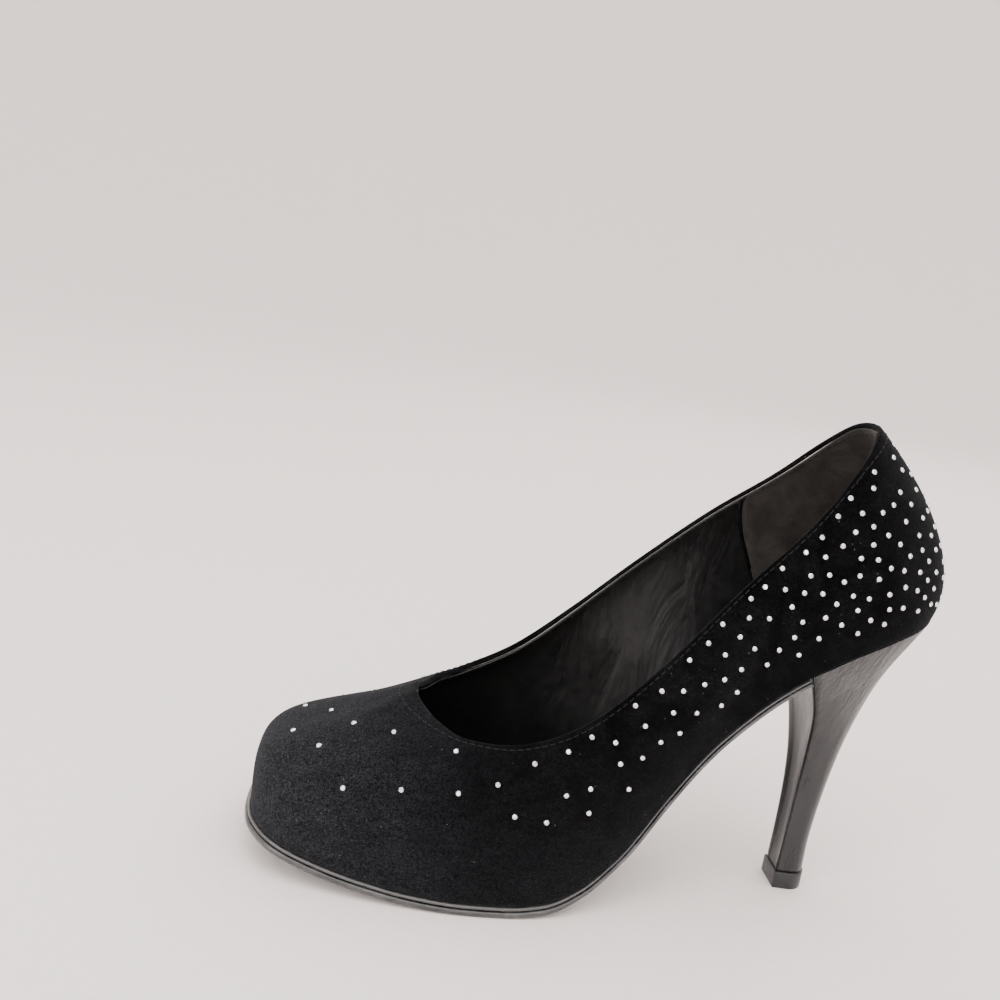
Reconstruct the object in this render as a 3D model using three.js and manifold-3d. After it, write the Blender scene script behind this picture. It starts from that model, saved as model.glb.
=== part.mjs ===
// A left high heel pump: square toe, low-cut topline, hidden platform and a slim curved heel.
// Millimetres, +X towards the toe, +Y to the outer side of the foot, +Z up, standing on Z = 0.
import * as THREE from "three";
import { mergeVertices } from "three/addons/utils/BufferGeometryUtils.js";
import Module from "manifold-3d";

const wasm = await Module();
wasm.setup();

// ---------- driving dimensions ----------
const lastLength = 220.6; // back of the heel seat to the toe, where the upper turns under
const ballWidth = 79.4; // the same line, across the widest part of the forefoot
const seatRise = 104.4; // heel seat above the forefoot
const toeSpring = 10.8; // toe above the ball
const backHeight = 60; // back seam, from the heel seat to the topline
const throatHeight = 43.6; // throat of the vamp above the toe's lower edge
const outsoleThickness = 2;
const outsoleWaistThickness = 1.1;
const midsoleThickness = 1.2;
const midsoleWaistThickness = 0.7;
const outsoleEdge = 1.1; // how far the outsole stands out past the upper
const midsoleEdge = 0.7;
const upperThickness = 1;
const backingThickness = 0.7; // toe puff, heel counter and tapes, between upper and lining
const liningThickness = 0.8;
const marginWidth = 11; // upper turned in under the platform and the boards
const platformThickness = 8;
const boardThickness = 1.3; // insole board and shank board
const foamThickness = 2;
const sockThickness = 0.8;
const shankWidth = 10;
const shankThickness = 1;
const heelBreastX = 42; // back of the heel seat to the heel breast
const breastHollow = 1.6;
const coverThickness = 0.7; // wrap on the heel
const tipLength = 11; // heel tip, front to back
const tipWidth = 11.6;
const tipBack = 20; // back of the heel seat to the back of the tip
const liftHeight = 6.2;
const liftFlare = 0.5;
const tubeRadius = 2.1;
const tubeBore = 1.3;
const tubeHeight = 62;
const tubeFromBack = 4.9; // back of the heel tip to the middle of the tube
const pinRadius = 1;
const pinHeight = 14;
const pinHeadRadius = 2;
const pinHeadHeight = 1.5;
const pinRecess = 2.4; // ground to the pin's head
const screwRadius = 2;
const screwLength = 24;
const screwHeadRadius = 3.5; // and the washer's
const washerThickness = 0.5;
const nailRadius = 0.9;
const nailLength = 15;
const rivetRadius = 1.5;
const rivetHeadRadius = 2.6;
const gap = 0.3; // clearance between pieces that lie on each other
const seatGap = 0.4; // clearance under the curved heel seat
const reach = 20; // how far a cutting tool runs past what it cuts

const base = { length: 220.6, ball: 79.4, back: 60, throat: 43.6 };
const stretch = lastLength / base.length;
const widen = ballWidth / base.ball;

// ---------- heights of the layers above the line where the upper turns under ----------
const marginTop = upperThickness;
const layersStart = marginTop + gap;
const backingInset = upperThickness + gap;
const liningInset = backingInset + backingThickness + gap;
const footInset = liningInset + liningThickness;
const standHeight = outsoleThickness + midsoleThickness + 2 * gap;

// ---------- curves ----------
// A smooth curve through points that never overshoots them; gives [value, slope] at x.
function curveAt(points, x) {
  const last = points.length - 1;
  const secant = (i) => (points[i + 1][1] - points[i][1]) / (points[i + 1][0] - points[i][0]);
  const slopeAt = (i) => {
    if (i === 0) return secant(0);
    if (i === last) return secant(last - 1);
    const [before, after] = [secant(i - 1), secant(i)];
    return before * after > 0 ? (2 * before * after) / (before + after) : 0;
  };
  let i = 0;
  while (i < last - 1 && x > points[i + 1][0]) i += 1;
  const [x0, y0] = points[i];
  const [x1, y1] = points[i + 1];
  const w = x1 - x0;
  const t = (x - x0) / w;
  const [m0, m1] = [slopeAt(i) * w, slopeAt(i + 1) * w];
  if (t < 0) return [y0 + m0 * t, m0 / w];
  if (t > 1) return [y1 + m1 * (t - 1), m1 / w];
  const value =
    (2 * t ** 3 - 3 * t ** 2 + 1) * y0 + (t ** 3 - 2 * t ** 2 + t) * m0 +
    (3 * t ** 2 - 2 * t ** 3) * y1 + (t ** 3 - t ** 2) * m1;
  const slope =
    (6 * t ** 2 - 6 * t) * (y0 - y1) + (3 * t ** 2 - 4 * t + 1) * m0 + (3 * t ** 2 - 2 * t) * m1;
  return [value, slope / w];
}

const mix = THREE.MathUtils.lerp;
const smooth = THREE.MathUtils.smoothstep;

// Share of the seat's rise, from the heel seat down the waist to the ball.
const waistLine = [
  [-3, 1], [10, 0.962], [28, 0.888], [50, 0.736], [66, 0.562], [82, 0.34],
  [96, 0.15], [108, 0.05], [119, 0.01], [132, 0], [144, 0], [218, 0],
];
// Share of the toe spring.
const springLine = [[-3, 0], [144, 0], [162, 0.08], [180, 0.28], [200, 0.6], [218, 1]];

// Height of the sole line at x, and the direction square to it.
function soleLine(x) {
  const [waist, waistSlope] = curveAt(waistLine, x / stretch);
  const [spring, springSlope] = curveAt(springLine, x / stretch);
  const slope = (seatRise * waistSlope + toeSpring * springSlope) / stretch;
  return {
    z: standHeight + seatRise * waist + toeSpring * spring,
    normal: new THREE.Vector3(-slope, 0, 1).normalize(),
  };
}

// Height of a point above the sole line, measured square to it, and where along the line it stands.
function aboveSole(point) {
  let x = point.x;
  for (let n = 0; n < 14; n += 1) {
    const { z, normal } = soleLine(x);
    const along = (point.x - x) * normal.z - (point.z - z) * normal.x;
    x += along * normal.z * 0.8;
  }
  const { z, normal } = soleLine(x);
  return { x, h: (point.x - x) * normal.x + (point.z - z) * normal.z };
}

// ---------- the last: the surface that the upper is drawn over ----------
// Ribs rise from the sole line to the topline. Stations run from the back seam to the toe.
// foot: [x, outer half width, inner half width] on the sole line
// top: [x forward of the foot, outer half width, inner half width, outer rise, inner rise]
// low: [how far the rib swells out, how high that pull reaches]; high: the same, back from the top
const stations = [
  { foot: [-3, 0, 0], top: [32, 0, 0, 60, 60], low: [7, 17.5], high: [20.5, 18] },
  { foot: [1, 11.5, 11.5], top: [30.5, 10.5, 10.8, 58.6, 59], low: [6.5, 17.5], high: [16.5, 17] },
  { foot: [11, 20.3, 20.5], top: [28, 18, 18.4, 51.4, 53.6], low: [5.4, 17], high: [10.4, 15] },
  { foot: [28, 25, 25.2], top: [24, 22.8, 23.6, 39.5, 46.5], low: [4, 15], high: [5, 13] },
  { foot: [50, 24.2, 22.8], top: [21, 26, 27.2, 33, 45.5], low: [4, 14], high: [4, 12] },
  { foot: [75, 22.6, 18.8], top: [18, 29.5, 31, 36, 54], low: [6, 16], high: [4, 14] },
  { foot: [98, 30.2, 24.5], top: [15, 31.2, 32.8, 48, 65.5], low: [6, 21], high: [5, 14] },
  { foot: [122, 37.6, 33.4], top: [10, 29, 30.4, 50.2, 62.5], low: [3.5, 24], high: [10, 9] },
  { foot: [150, 39.2, 40.2], top: [0, 23.5, 24.8, 48, 54.5], low: [2.4, 27], high: [13, 5.5] },
  { foot: [177, 36.2, 39], top: [-17.5, 16.8, 17.6, 47.4, 50.5], low: [2, 28], high: [22.5, 12.5] },
  { foot: [196, 31.6, 34], top: [-32, 10.6, 10.8, 46, 47], low: [1.6, 29], high: [35, 18.5] },
  { foot: [207.5, 26.4, 28], top: [-41, 6.6, 6.7, 45, 45.4], low: [1.4, 31], high: [42, 22.5] },
  { foot: [214.4, 18.4, 19.6], top: [-46.8, 3.7, 3.7, 44.4, 44.5], low: [1.2, 33], high: [45, 25] },
  { foot: [217, 9.6, 10], top: [-49, 1.8, 1.8, 43.8, 43.8], low: [1.2, 34], high: [47.5, 26.5] },
  { foot: [217.6, 0, 0], top: [-49.6, 0, 0, 43.6, 43.6], low: [1.2, 34], high: [48, 27] },
];
const toe = stations.length - 1; // the stations go on round: toe * 2 is the back seam again
const around = toe * 2;

const [fanStart, fanEnd] = [150, 177]; // over the toe the ribs fan out from the throat

// The four control points of one rib.
function ribControls({ foot, top, low, high }, side) {
  const width = side > 0 ? foot[1] : foot[2];
  const topWidth = side > 0 ? top[1] : top[2];
  const rise = side > 0 ? top[3] : top[4];
  const tall = top[0] > 0 ? backHeight / base.back : throatHeight / base.throat;
  const x = foot[0] * stretch;
  const footAt = new THREE.Vector3(x, side * width * widen, soleLine(x).z);
  const topAt = new THREE.Vector3(
    (foot[0] + top[0]) * stretch, side * topWidth * widen, footAt.z + rise * tall);
  const end = foot[0] < base.length / 2 ? -1 : 1;
  const sideways = smooth(width, 0, 24);
  const out = new THREE.Vector3(end * (1 - sideways), side * sideways, 0).normalize();
  const lower = footAt.clone().addScaledVector(out, low[0]);
  lower.z += low[1] * tall;
  const outward = new THREE.Vector3(footAt.x - topAt.x, footAt.y - topAt.y, 0);
  const sideOut = out.clone().multiplyScalar(outward.length());
  const fan = 1 - THREE.MathUtils.clamp((foot[0] - fanStart) / (fanEnd - fanStart), 0, 1);
  const fromTop = outward.clone().lerp(sideOut, end > 0 ? fan : sideways).normalize();
  const upper = topAt.clone().addScaledVector(fromTop, high[0]);
  upper.z -= high[1] * tall;
  return [footAt, lower, upper, topAt];
}

const outerRibs = stations.map((station) => ribControls(station, 1));
const innerRibs = stations.map((station) => ribControls(station, -1)).slice(1, -1).reverse();
const ribs = [...outerRibs, ...innerRibs];
const controlLoops = [0, 1, 2, 3].map(
  (k) => new THREE.CatmullRomCurve3(ribs.map((rib) => rib[k]), true, "catmullrom", 0.5),
);

// Where the upper turns under, at station s (0 back seam, toe, around back seam again).
function footAt(s) {
  const point = controlLoops[0].getPoint((((s % around) + around) % around) / around);
  point.z = soleLine(point.x).z;
  return point;
}

// A point at station s, out past the foot of the upper (or in, if negative), h above the sole line.
function onSole(s, out, h) {
  const foot = footAt(s);
  const { normal } = soleLine(foot.x);
  const run = footAt(s + 0.02).sub(footAt(s - 0.02));
  const outward = normal.clone().cross(run).normalize();
  const shifted = foot.addScaledVector(outward, out);
  const { x } = aboveSole(shifted);
  const line = soleLine(x);
  return new THREE.Vector3(x, shifted.y, line.z).addScaledVector(line.normal, h);
}

function lastPoint(s, v) {
  const t = (((s % around) + around) % around) / around;
  const [a, b, c, d] = [footAt(s), ...[1, 2, 3].map((k) => controlLoops[k].getPoint(t))];
  const w = 1 - v;
  return new THREE.Vector3()
    .addScaledVector(a, w ** 3)
    .addScaledVector(b, 3 * w * w * v)
    .addScaledVector(c, 3 * w * v * v)
    .addScaledVector(d, v ** 3);
}

// A point at station s and height v (0 foot, 1 topline), set in by a distance from the outside.
function onLast(s, v, inset) {
  const [e, f] = [0.02, 0.004];
  const along = lastPoint(s + e, v).sub(lastPoint(s - e, v));
  const up = lastPoint(s, Math.min(1, v + f)).sub(lastPoint(s, Math.max(0, v - f)));
  const inward = along.cross(up).normalize();
  return lastPoint(s, v).addScaledVector(inward, inset);
}

// The v at which a surface set in by inset stands height(x) above the sole line.
function levelOn(s, inset, height) {
  let [low, high] = [0, 0.75];
  for (let n = 0; n < 22; n += 1) {
    const v = (low + high) / 2;
    const { x, h } = aboveSole(onLast(s, v, inset));
    if (h < height(x)) low = v;
    else high = v;
  }
  return (low + high) / 2;
}

// ---------- meshes ----------
// One closed body from two grids of points, front[i][j] and back[i][j], joined along their edges.
function sheet(front, back, closed = false) {
  const rows = front.length;
  const columns = front[0].length;
  const points = [...front.flat(), ...back.flat()];
  const at = (face, i, j) => face * rows * columns + (i % rows) * columns + j;
  const triangles = [];
  const quad = (a, b, c, d) => triangles.push([a, b, c], [a, c, d]);
  const steps = closed ? rows : rows - 1;
  for (let i = 0; i < steps; i += 1) {
    for (let j = 0; j < columns - 1; j += 1) {
      quad(at(0, i, j), at(0, i + 1, j), at(0, i + 1, j + 1), at(0, i, j + 1));
      quad(at(1, i, j), at(1, i, j + 1), at(1, i + 1, j + 1), at(1, i + 1, j));
    }
    const end = columns - 1;
    quad(at(0, i, 0), at(1, i, 0), at(1, i + 1, 0), at(0, i + 1, 0));
    quad(at(0, i, end), at(0, i + 1, end), at(1, i + 1, end), at(1, i, end));
  }
  if (!closed) {
    for (let j = 0; j < columns - 1; j += 1) {
      quad(at(0, 0, j), at(0, 0, j + 1), at(1, 0, j + 1), at(1, 0, j));
      const i = rows - 1;
      quad(at(0, i, j), at(1, i, j), at(1, i, j + 1), at(0, i, j + 1));
    }
  }
  const geometry = new THREE.BufferGeometry();
  geometry.setFromPoints(points);
  geometry.setIndex(triangles.flat());
  return facingOut(geometry);
}

// Shared corners joined, triangles without area dropped, faces turned outwards.
function facingOut(geometry) {
  const bare = new THREE.BufferGeometry();
  bare.setAttribute("position", geometry.getAttribute("position"));
  if (geometry.index) bare.setIndex(geometry.index);
  const merged = mergeVertices(bare, 1e-3);
  const index = [...merged.index.array];
  const position = merged.getAttribute("position");
  const corner = (n) => new THREE.Vector3().fromBufferAttribute(position, n);
  const kept = [];
  let volume = 0;
  for (let i = 0; i < index.length; i += 3) {
    const [a, b, c] = index.slice(i, i + 3);
    if (a === b || b === c || c === a) continue;
    kept.push([a, b, c]);
    volume += corner(a).dot(corner(b).cross(corner(c)));
  }
  merged.setIndex((volume < 0 ? kept.map(([a, b, c]) => [a, c, b]) : kept).flat());
  return merged;
}

function toSolid(geometry) {
  const closed = facingOut(geometry);
  return new wasm.Manifold(new wasm.Mesh({
    numProp: 3,
    vertProperties: new Float32Array(closed.getAttribute("position").array),
    triVerts: new Uint32Array(closed.index.array),
  }));
}

function toGeometry(solid) {
  const mesh = solid.getMesh();
  const geometry = new THREE.BufferGeometry();
  geometry.setAttribute("position", new THREE.BufferAttribute(mesh.vertProperties, 3));
  geometry.setIndex(new THREE.BufferAttribute(mesh.triVerts, 1));
  return geometry;
}

const cut = (geometry, tools) =>
  toGeometry(tools.reduce((solid, tool) => solid.subtract(toSolid(tool)), toSolid(geometry)));

// A turned piece: a profile of [radius, height] turned about +Z, then moved to a place.
function turned(profile, place = new THREE.Matrix4(), sides = 20) {
  const geometry = new THREE.LatheGeometry(profile.map(([r, z]) => new THREE.Vector2(r, z)), sides);
  return geometry.rotateX(Math.PI / 2).applyMatrix4(place);
}

const rod = (radius, from, to, place, sides = 20) =>
  turned([[0, from], [radius, from], [radius, to], [0, to]], place, sides);

const numbers = (from, to, count) =>
  Array.from({ length: count + 1 }, (_, i) => mix(from, to, i / count));

// ---------- finishes ----------
const finish = (color, roughness, metalness = 0) =>
  new THREE.MeshStandardMaterial({ color, roughness, metalness, side: THREE.DoubleSide });
const suede = finish(0x17181b, 0.95);
const liningSuede = finish(0x3a3735, 0.95);
const liningLeather = finish(0x0d0d0e, 0.4);
const heelLeather = finish(0x1b1c1f, 0.25);
const polishedEdge = finish(0x101012, 0.2);
const soleLeather = finish(0x1a1a1b, 0.5);
const fibreboard = finish(0x8a6b4a, 0.9);
const stiffener = finish(0xd8d2c4, 0.8);
const tape = finish(0xe4e0d6, 0.9);
const foam = finish(0xd9cdb4, 1);
const cork = finish(0xa27a4f, 1);
const hardPlastic = finish(0xe9e6df, 0.5);
const liftRubber = finish(0x161617, 0.45);
const steel = finish(0xb6b8bc, 0.35, 1);

const shoe = new THREE.Group();
function add(name, geometry, material) {
  const mesh = new THREE.Mesh(geometry, material);
  mesh.name = name;
  shoe.add(mesh);
}

// ---------- sole ----------
// Station at which the foot of the upper reaches x, on the way from the back seam to the toe.
function stationAt(x) {
  let [low, high] = [0, toe];
  for (let n = 0; n < 40; n += 1) {
    const s = (low + high) / 2;
    if (footAt(s).x < x) low = s;
    else high = s;
  }
  return (low + high) / 2;
}

// Half widths of an outline at x, from points [x, y] in order along one side of the shoe.
function widthAt(side, x) {
  let i = 0;
  while (i < side.length - 2 && x > side[i + 1][0]) i += 1;
  const [x0, y0] = side[i];
  const [x1, y1] = side[i + 1];
  return mix(y0, y1, Math.min(1, Math.max(0, (x - x0) / (x1 - x0))));
}

// Cross sections of the layers: close together where the sole bends and at the rounded ends.
const crossSections = [
  ...numbers(15, 60, 5), ...numbers(66, 127, 12), 132, 138, 144, ...numbers(151, 200, 7),
].map((x) => x * stretch);
const endSteps = [0, 0.5, 1.6, 3.4, 6.2, 10];

// A layer that follows the sole line between two heights. edge(s, height) is a point on its edge.
function soleLayer(edge, bottom, top, fromX = -Infinity, toX = Infinity) {
  const surface = (height) => {
    const sides = [1, -1].map((side) =>
      numbers(0, toe, 84).map((s) => {
        const point = edge(side > 0 ? s : around - s, height);
        return [aboveSole(point).x, point.y];
      }));
    const first = Math.max(fromX, sides[0][0][0]);
    const last = Math.min(toX, sides[0][sides[0].length - 1][0]);
    const startSteps = fromX > sides[0][0][0] ? [0] : endSteps;
    const stopSteps = toX < sides[0][sides[0].length - 1][0] ? [0] : endSteps;
    const middle = crossSections.filter((x) =>
      x > first + startSteps.at(-1) + 2 && x < last - stopSteps.at(-1) - 2);
    const places = [
      ...startSteps.map((d) => first + d), ...middle, ...stopSteps.toReversed().map((d) => last - d),
    ];
    return places.map((x) => sides.map((side) => {
      const { z, normal } = soleLine(x);
      const h = height(x);
      return new THREE.Vector3(x + normal.x * h, widthAt(side, x), z + normal.z * h);
    }));
  };
  return sheet(surface(top), surface(bottom));
}
const flatLayer = (out, bottom, top, fromX, toX) =>
  soleLayer((s) => onSole(s, out, 0), bottom, top, fromX, toX);

const ballStart = 96 * stretch;
const ballFull = 122 * stretch;
const forepart = (x) => smooth(x, ballStart, ballFull);
const midsoleBottom = (x) => -gap - mix(midsoleWaistThickness, midsoleThickness, forepart(x));
const outsoleTop = (x) => midsoleBottom(x) - gap;
const outsoleBottom = (x) => outsoleTop(x) - mix(outsoleWaistThickness, outsoleThickness, forepart(x));
const soleStart = heelBreastX * stretch + 4 * gap;

add("outsole", flatLayer(outsoleEdge, outsoleBottom, outsoleTop, soleStart), polishedEdge);
add("midsole", flatLayer(midsoleEdge, midsoleBottom, () => -gap, soleStart), soleLeather);

// ---------- platform, boards and sock, inside the upper ----------
const platformStart = 92 * stretch;
const platformFull = 126 * stretch;
const rampTop = (x) =>
  layersStart + (platformThickness + gap) * smooth(x, platformStart - 8, platformFull);

// A layer lying inside the surface that is set in by inset, from one x to another.
const innerLayer = (inset, bottom, top, fromX, toX) =>
  soleLayer((s, height) => onLast(s, levelOn(s, inset, height), inset), bottom, top, fromX, toX);

const lift = (height, by) => (x) => height(x) + by;
const boardsInset = liningInset + gap / 2;
const sockInset = footInset + 2 * gap;
const shankBoardTop = lift(rampTop, boardThickness);
const insoleBottom = lift(shankBoardTop, gap);
const insoleTop = lift(insoleBottom, boardThickness);
const foamBottom = lift(insoleTop, gap);
const foamTop = lift(foamBottom, foamThickness);
const sockBottom = lift(foamTop, gap);
const sockTop = lift(sockBottom, sockThickness);
const shankBoardEnd = 112 * stretch;

// Places down through the seat, square to the sole line at x, with Z = 0 on the sole line.
function seatPlace(x, y) {
  const { z, normal } = soleLine(x);
  const turn = new THREE.Matrix4().makeRotationY(Math.atan2(normal.x, normal.z));
  return new THREE.Matrix4().makeTranslation(x, y, z).multiply(turn);
}

const boardAtSeat = layersStart + boardThickness;
const insoleAtSeat = boardAtSeat + gap + boardThickness;
const screwX = 27 * stretch;
const nailPlaces = [[13.5, 0], [21, 9.5], [21, -9.5], [35, 11], [35, -11]].map(([x, y]) =>
  seatPlace(x * stretch, y * widen));
const screwPlace = seatPlace(screwX, 0);
const rivetPlaces = [50, 84].map((x) => seatPlace(x * stretch, 0));
const throughBoards = (radius, place) => rod(radius + gap, -reach, reach, place);

const platform = innerLayer(boardsInset, () => layersStart, lift(rampTop, -gap), platformStart);
add("platform", platform, foam);
add("shank_board", cut(
  innerLayer(boardsInset, rampTop, shankBoardTop, undefined, shankBoardEnd),
  [
    ...nailPlaces.map((place) => throughBoards(nailRadius, place)),
    throughBoards(screwRadius, screwPlace),
    ...rivetPlaces.map((place) => throughBoards(rivetRadius, place)),
  ],
), fibreboard);
add("insole_board", cut(
  innerLayer(boardsInset, insoleBottom, insoleTop),
  [
    ...nailPlaces.map((place) => throughBoards(nailRadius, place)),
    throughBoards(screwHeadRadius + gap, screwPlace),
    ...rivetPlaces.map((place) => throughBoards(rivetHeadRadius, place)),
  ],
), fibreboard);

add("sock_foam", innerLayer(sockInset, foamBottom, foamTop), foam);
add("sock_lining", innerLayer(sockInset, sockBottom, sockTop), liningSuede);

// The space under the forefoot between the turned-in edges of the upper.
const fillerBottom = () => gap / 2;
const fillerTop = () => marginTop - gap / 2;
add("bottom_filler",
  flatLayer(-marginWidth - 2 * gap, fillerBottom, fillerTop, 100 * stretch, 200 * stretch), cork);

// The shank lies in the same space, under the shank board, between the turned-in edges.
const shankStart = 17 * stretch;
const shankEnd = 94 * stretch;
const shankCentre = (x) => mix(0, 1.5, smooth(x, 40, 90));
const shankAt = (x, side, h) => {
  const { z, normal } = soleLine(x);
  const taper = 1 - 0.35 * smooth(x, shankEnd - 18, shankEnd);
  const y = shankCentre(x) + side * shankWidth / 2 * taper;
  return new THREE.Vector3(x + normal.x * h, y, z + normal.z * h);
};
const shankSections = [
  shankStart, ...crossSections.filter((x) => x > shankStart + 2 && x < shankEnd - 2), shankEnd,
];
const shankSurface = (h) => shankSections.map((x) => [shankAt(x, 1, h), shankAt(x, -1, h)]);
const shankBottom = 0.1;
add("steel_shank", cut(
  sheet(shankSurface(shankBottom + shankThickness), shankSurface(shankBottom)),
  [
    throughBoards(screwRadius, screwPlace),
    ...rivetPlaces.map((place) => throughBoards(rivetRadius, place)),
  ],
), steel);

rivetPlaces.forEach((place, n) => {
  add(`shank_rivet_${n + 1}`, turned([
    [0, shankBottom], [rivetRadius, shankBottom], [rivetRadius, boardAtSeat + gap],
    [rivetHeadRadius, boardAtSeat + gap], [rivetHeadRadius * 0.7, insoleAtSeat], [0, insoleAtSeat],
  ], place), steel);
});

// ---------- upper ----------
// Stations of every layer of the upper, closer together over the bend of the sole.
const oneSide = [
  ...numbers(0, 3, 6), ...numbers(3, 5, 6).slice(1), ...numbers(5, 8, 17).slice(1),
  ...numbers(8, toe, 12).slice(1),
];
const rounds = [...oneSide, ...oneSide.slice(1, -1).map((s) => around - s).reverse()];
const between = (from, to) =>
  [...rounds.map((s) => s - around), ...rounds].filter((s) => s >= from - 1e-6 && s <= to + 1e-6);
const heights = [0, 0.07, 0.16, 0.27, 0.39, 0.52, 0.65, 0.78, 0.9, 1];
const marginAt = (s) => Math.min(marginWidth, 0.6 * Math.abs(footAt(s).y) + 7);
const upperOutside = rounds.map((s) => [
  onSole(s, -marginAt(s), 0),
  ...heights.map((v) => onLast(s, v, 0)),
]);
const upperInside = rounds.map((s) => [
  onSole(s, -marginAt(s), marginTop),
  ...heights.map((v) => {
    const floor = levelOn(s, upperThickness, () => marginTop);
    return onLast(s, Math.max(v, floor + 0.02 * v), upperThickness);
  }),
]);
add("upper", sheet(upperOutside, upperInside, true), suede);

// A sheet on the inside of the upper, set in to its outer face. range(s) gives the heights, as shares
// of the rib, that it starts and ends at; where floor is given, it starts at that height above the sole.
function backing(stationsUsed, inset, thickness, floor, range, closed = false) {
  const face = (at) => stationsUsed.map((s) => {
    const [start, end] = range(s);
    const from = floor ? levelOn(s, at, floor) : start;
    return [from, ...heights.slice(1, -1).map((v) => THREE.MathUtils.clamp(v, from, end)), end]
      .map((v) => onLast(s, v, at));
  });
  return sheet(face(inset), face(inset + thickness), closed);
}

const aboveMargin = () => layersStart;
const counterReach = 5; // stations forward from the back seam, on each side
add("heel_counter", backing(between(-counterReach, counterReach), backingInset, backingThickness,
  aboveMargin, (s) => [0, mix(0.66, 0.36, smooth(Math.abs(s), 1, counterReach))]), stiffener);

const puffReach = 5.5;
add("toe_puff", backing(between(toe - puffReach, toe + puffReach), backingInset, backingThickness,
  aboveMargin, (s) => [0, mix(0.7, 0.5, smooth(Math.abs(s - toe), 2, puffReach))]), stiffener);

add("topline_tape",
  backing(rounds, backingInset, backingThickness, null, () => [0.9, 0.985], true), tape);
add("back_seam_tape",
  backing(between(-0.5, 0.5), backingInset, backingThickness, null, () => [0.69, 0.885]), tape);

// ---------- linings ----------
const liningFoot = lift(insoleTop, gap);
const liningRange = () => [0, 0.995];
const seamStation = 11 / 3; // the seam between the heel lining and the vamp lining
const seamGap = 0.02;
const heelLining = [
  -seamStation, ...between(-seamStation + seamGap, seamStation - seamGap), seamStation,
];
const vampLining = [
  seamStation + seamGap, ...between(seamStation + seamGap, around - seamStation - seamGap),
  around - seamStation - seamGap,
];
add("heel_lining",
  backing(heelLining, liningInset, liningThickness, liningFoot, liningRange), liningSuede);
add("vamp_lining",
  backing(vampLining, liningInset, liningThickness, liningFoot, liningRange), liningLeather);

// ---------- heel ----------
const heelBottom = liftHeight + gap;
const backSpine = new THREE.CatmullRomCurve3([
  [tipBack, heelBottom], [20.2, 20], [18.6, 40], [15.2, 62], [8.4, 85.5],
  [-2.7, seatRise + standHeight - seatGap],
].map(([x, z]) => new THREE.Vector3(x * stretch, 0, z)));
const breastSpine = new THREE.CatmullRomCurve3([
  [tipBack + tipLength, heelBottom], [30.8, 20], [30.9, 38], [31.8, 54], [34.4, 70],
  [heelBreastX, soleLine(heelBreastX * stretch).z - seatGap],
].map(([x, z]) => new THREE.Vector3(x * stretch, 0, z)));
const breastStation = stationAt(heelBreastX * stretch);
const seatHalf = footAt(breastStation).y;
const tipHalf = tipWidth / 2;
const halfWidths = [
  [0, tipHalf], [0.2, tipHalf + 0.3], [0.42, tipHalf + 1.6], [0.64, tipHalf + 5], [0.84, 16.6], [1, 25],
];

// A point on the heel: t from tip to seat, q from the back to the edge of the breast, side +1 or -1.
// Low down the section is a rounded wedge; towards the seat it takes the outline of the sole line.
function onHeel(t, q, side, inset) {
  const back = backSpine.getPoint(t);
  const front = breastSpine.getPoint(t);
  const chord = front.clone().sub(back);
  const length = chord.length();
  chord.normalize();
  const seatStation = side > 0 ? q * breastStation : around - q * breastStation;
  const seat = onSole(seatStation, -inset, -seatGap);
  const seatBack = onSole(0, -inset, -seatGap);
  const seatSpan = onSole(breastStation, -inset, -seatGap).x - seatBack.x;
  const half = curveAt(halfWidths, t)[0] * (t < 0.7 ? 1 : mix(1, widen, (t - 0.7) / 0.3));
  const round = Math.min(1, q / 0.55);
  const tipShare = mix(0.5 * (1 - Math.cos(round * Math.PI / 2)), 1, Math.max(0, (q - 0.55) / 0.45));
  const tipSide = Math.sin(round * Math.PI / 2) * mix(1, 0.95, Math.max(0, (q - 0.55) / 0.45));
  const seatShare = (seat.x - seatBack.x) / seatSpan;
  const seatSide = Math.abs(seat.y) / (seatHalf * 1.01);
  const blend = smooth(t, 0.25, 1);
  const share = mix(tipShare, seatShare, blend);
  const width = mix(tipSide, seatSide, blend);
  const point = back.clone()
    .addScaledVector(chord, inset + share * (length - 2 * inset));
  point.y = side * width * (half - inset);
  return point.lerp(seat, smooth(t, 0.86, 1));
}

const hollowAt = (t) => breastHollow * 4 * t * (1 - t);
// A point across the breast: r from -1 to 1 between its two edges.
function onBreast(t, r, inset, sideInset) {
  const edge = onHeel(t, 1, 1, sideInset);
  const far = onHeel(t, 1, -1, sideInset);
  const towardsBack = backSpine.getPoint(t).sub(breastSpine.getPoint(t)).normalize();
  const point = far.clone().lerp(edge, (r + 1) / 2)
    .addScaledVector(towardsBack, inset - sideInset + hollowAt(t) * (1 - r * r));
  const { x, h } = aboveSole(point);
  return h > -seatGap ? point.addScaledVector(soleLine(x).normal, -seatGap - h) : point;
}

const rises = [0, 0.08, 0.2, 0.33, 0.46, 0.58, 0.7, 0.8, 0.88, 0.94, 1];
const quarters = numbers(0, 1, 8);
const coreInset = coverThickness + gap;
const across = [-1, -0.6, -0.2, 0.2, 0.6, 1];
const ring = (t, inset) => [
  ...quarters.map((q) => onHeel(t, q, 1, inset)),
  ...across.slice(1, -1).reverse().map((r) => onBreast(t, r, inset, inset)),
  ...quarters.slice(1).reverse().map((q) => onHeel(t, q, -1, inset)),
];

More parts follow.
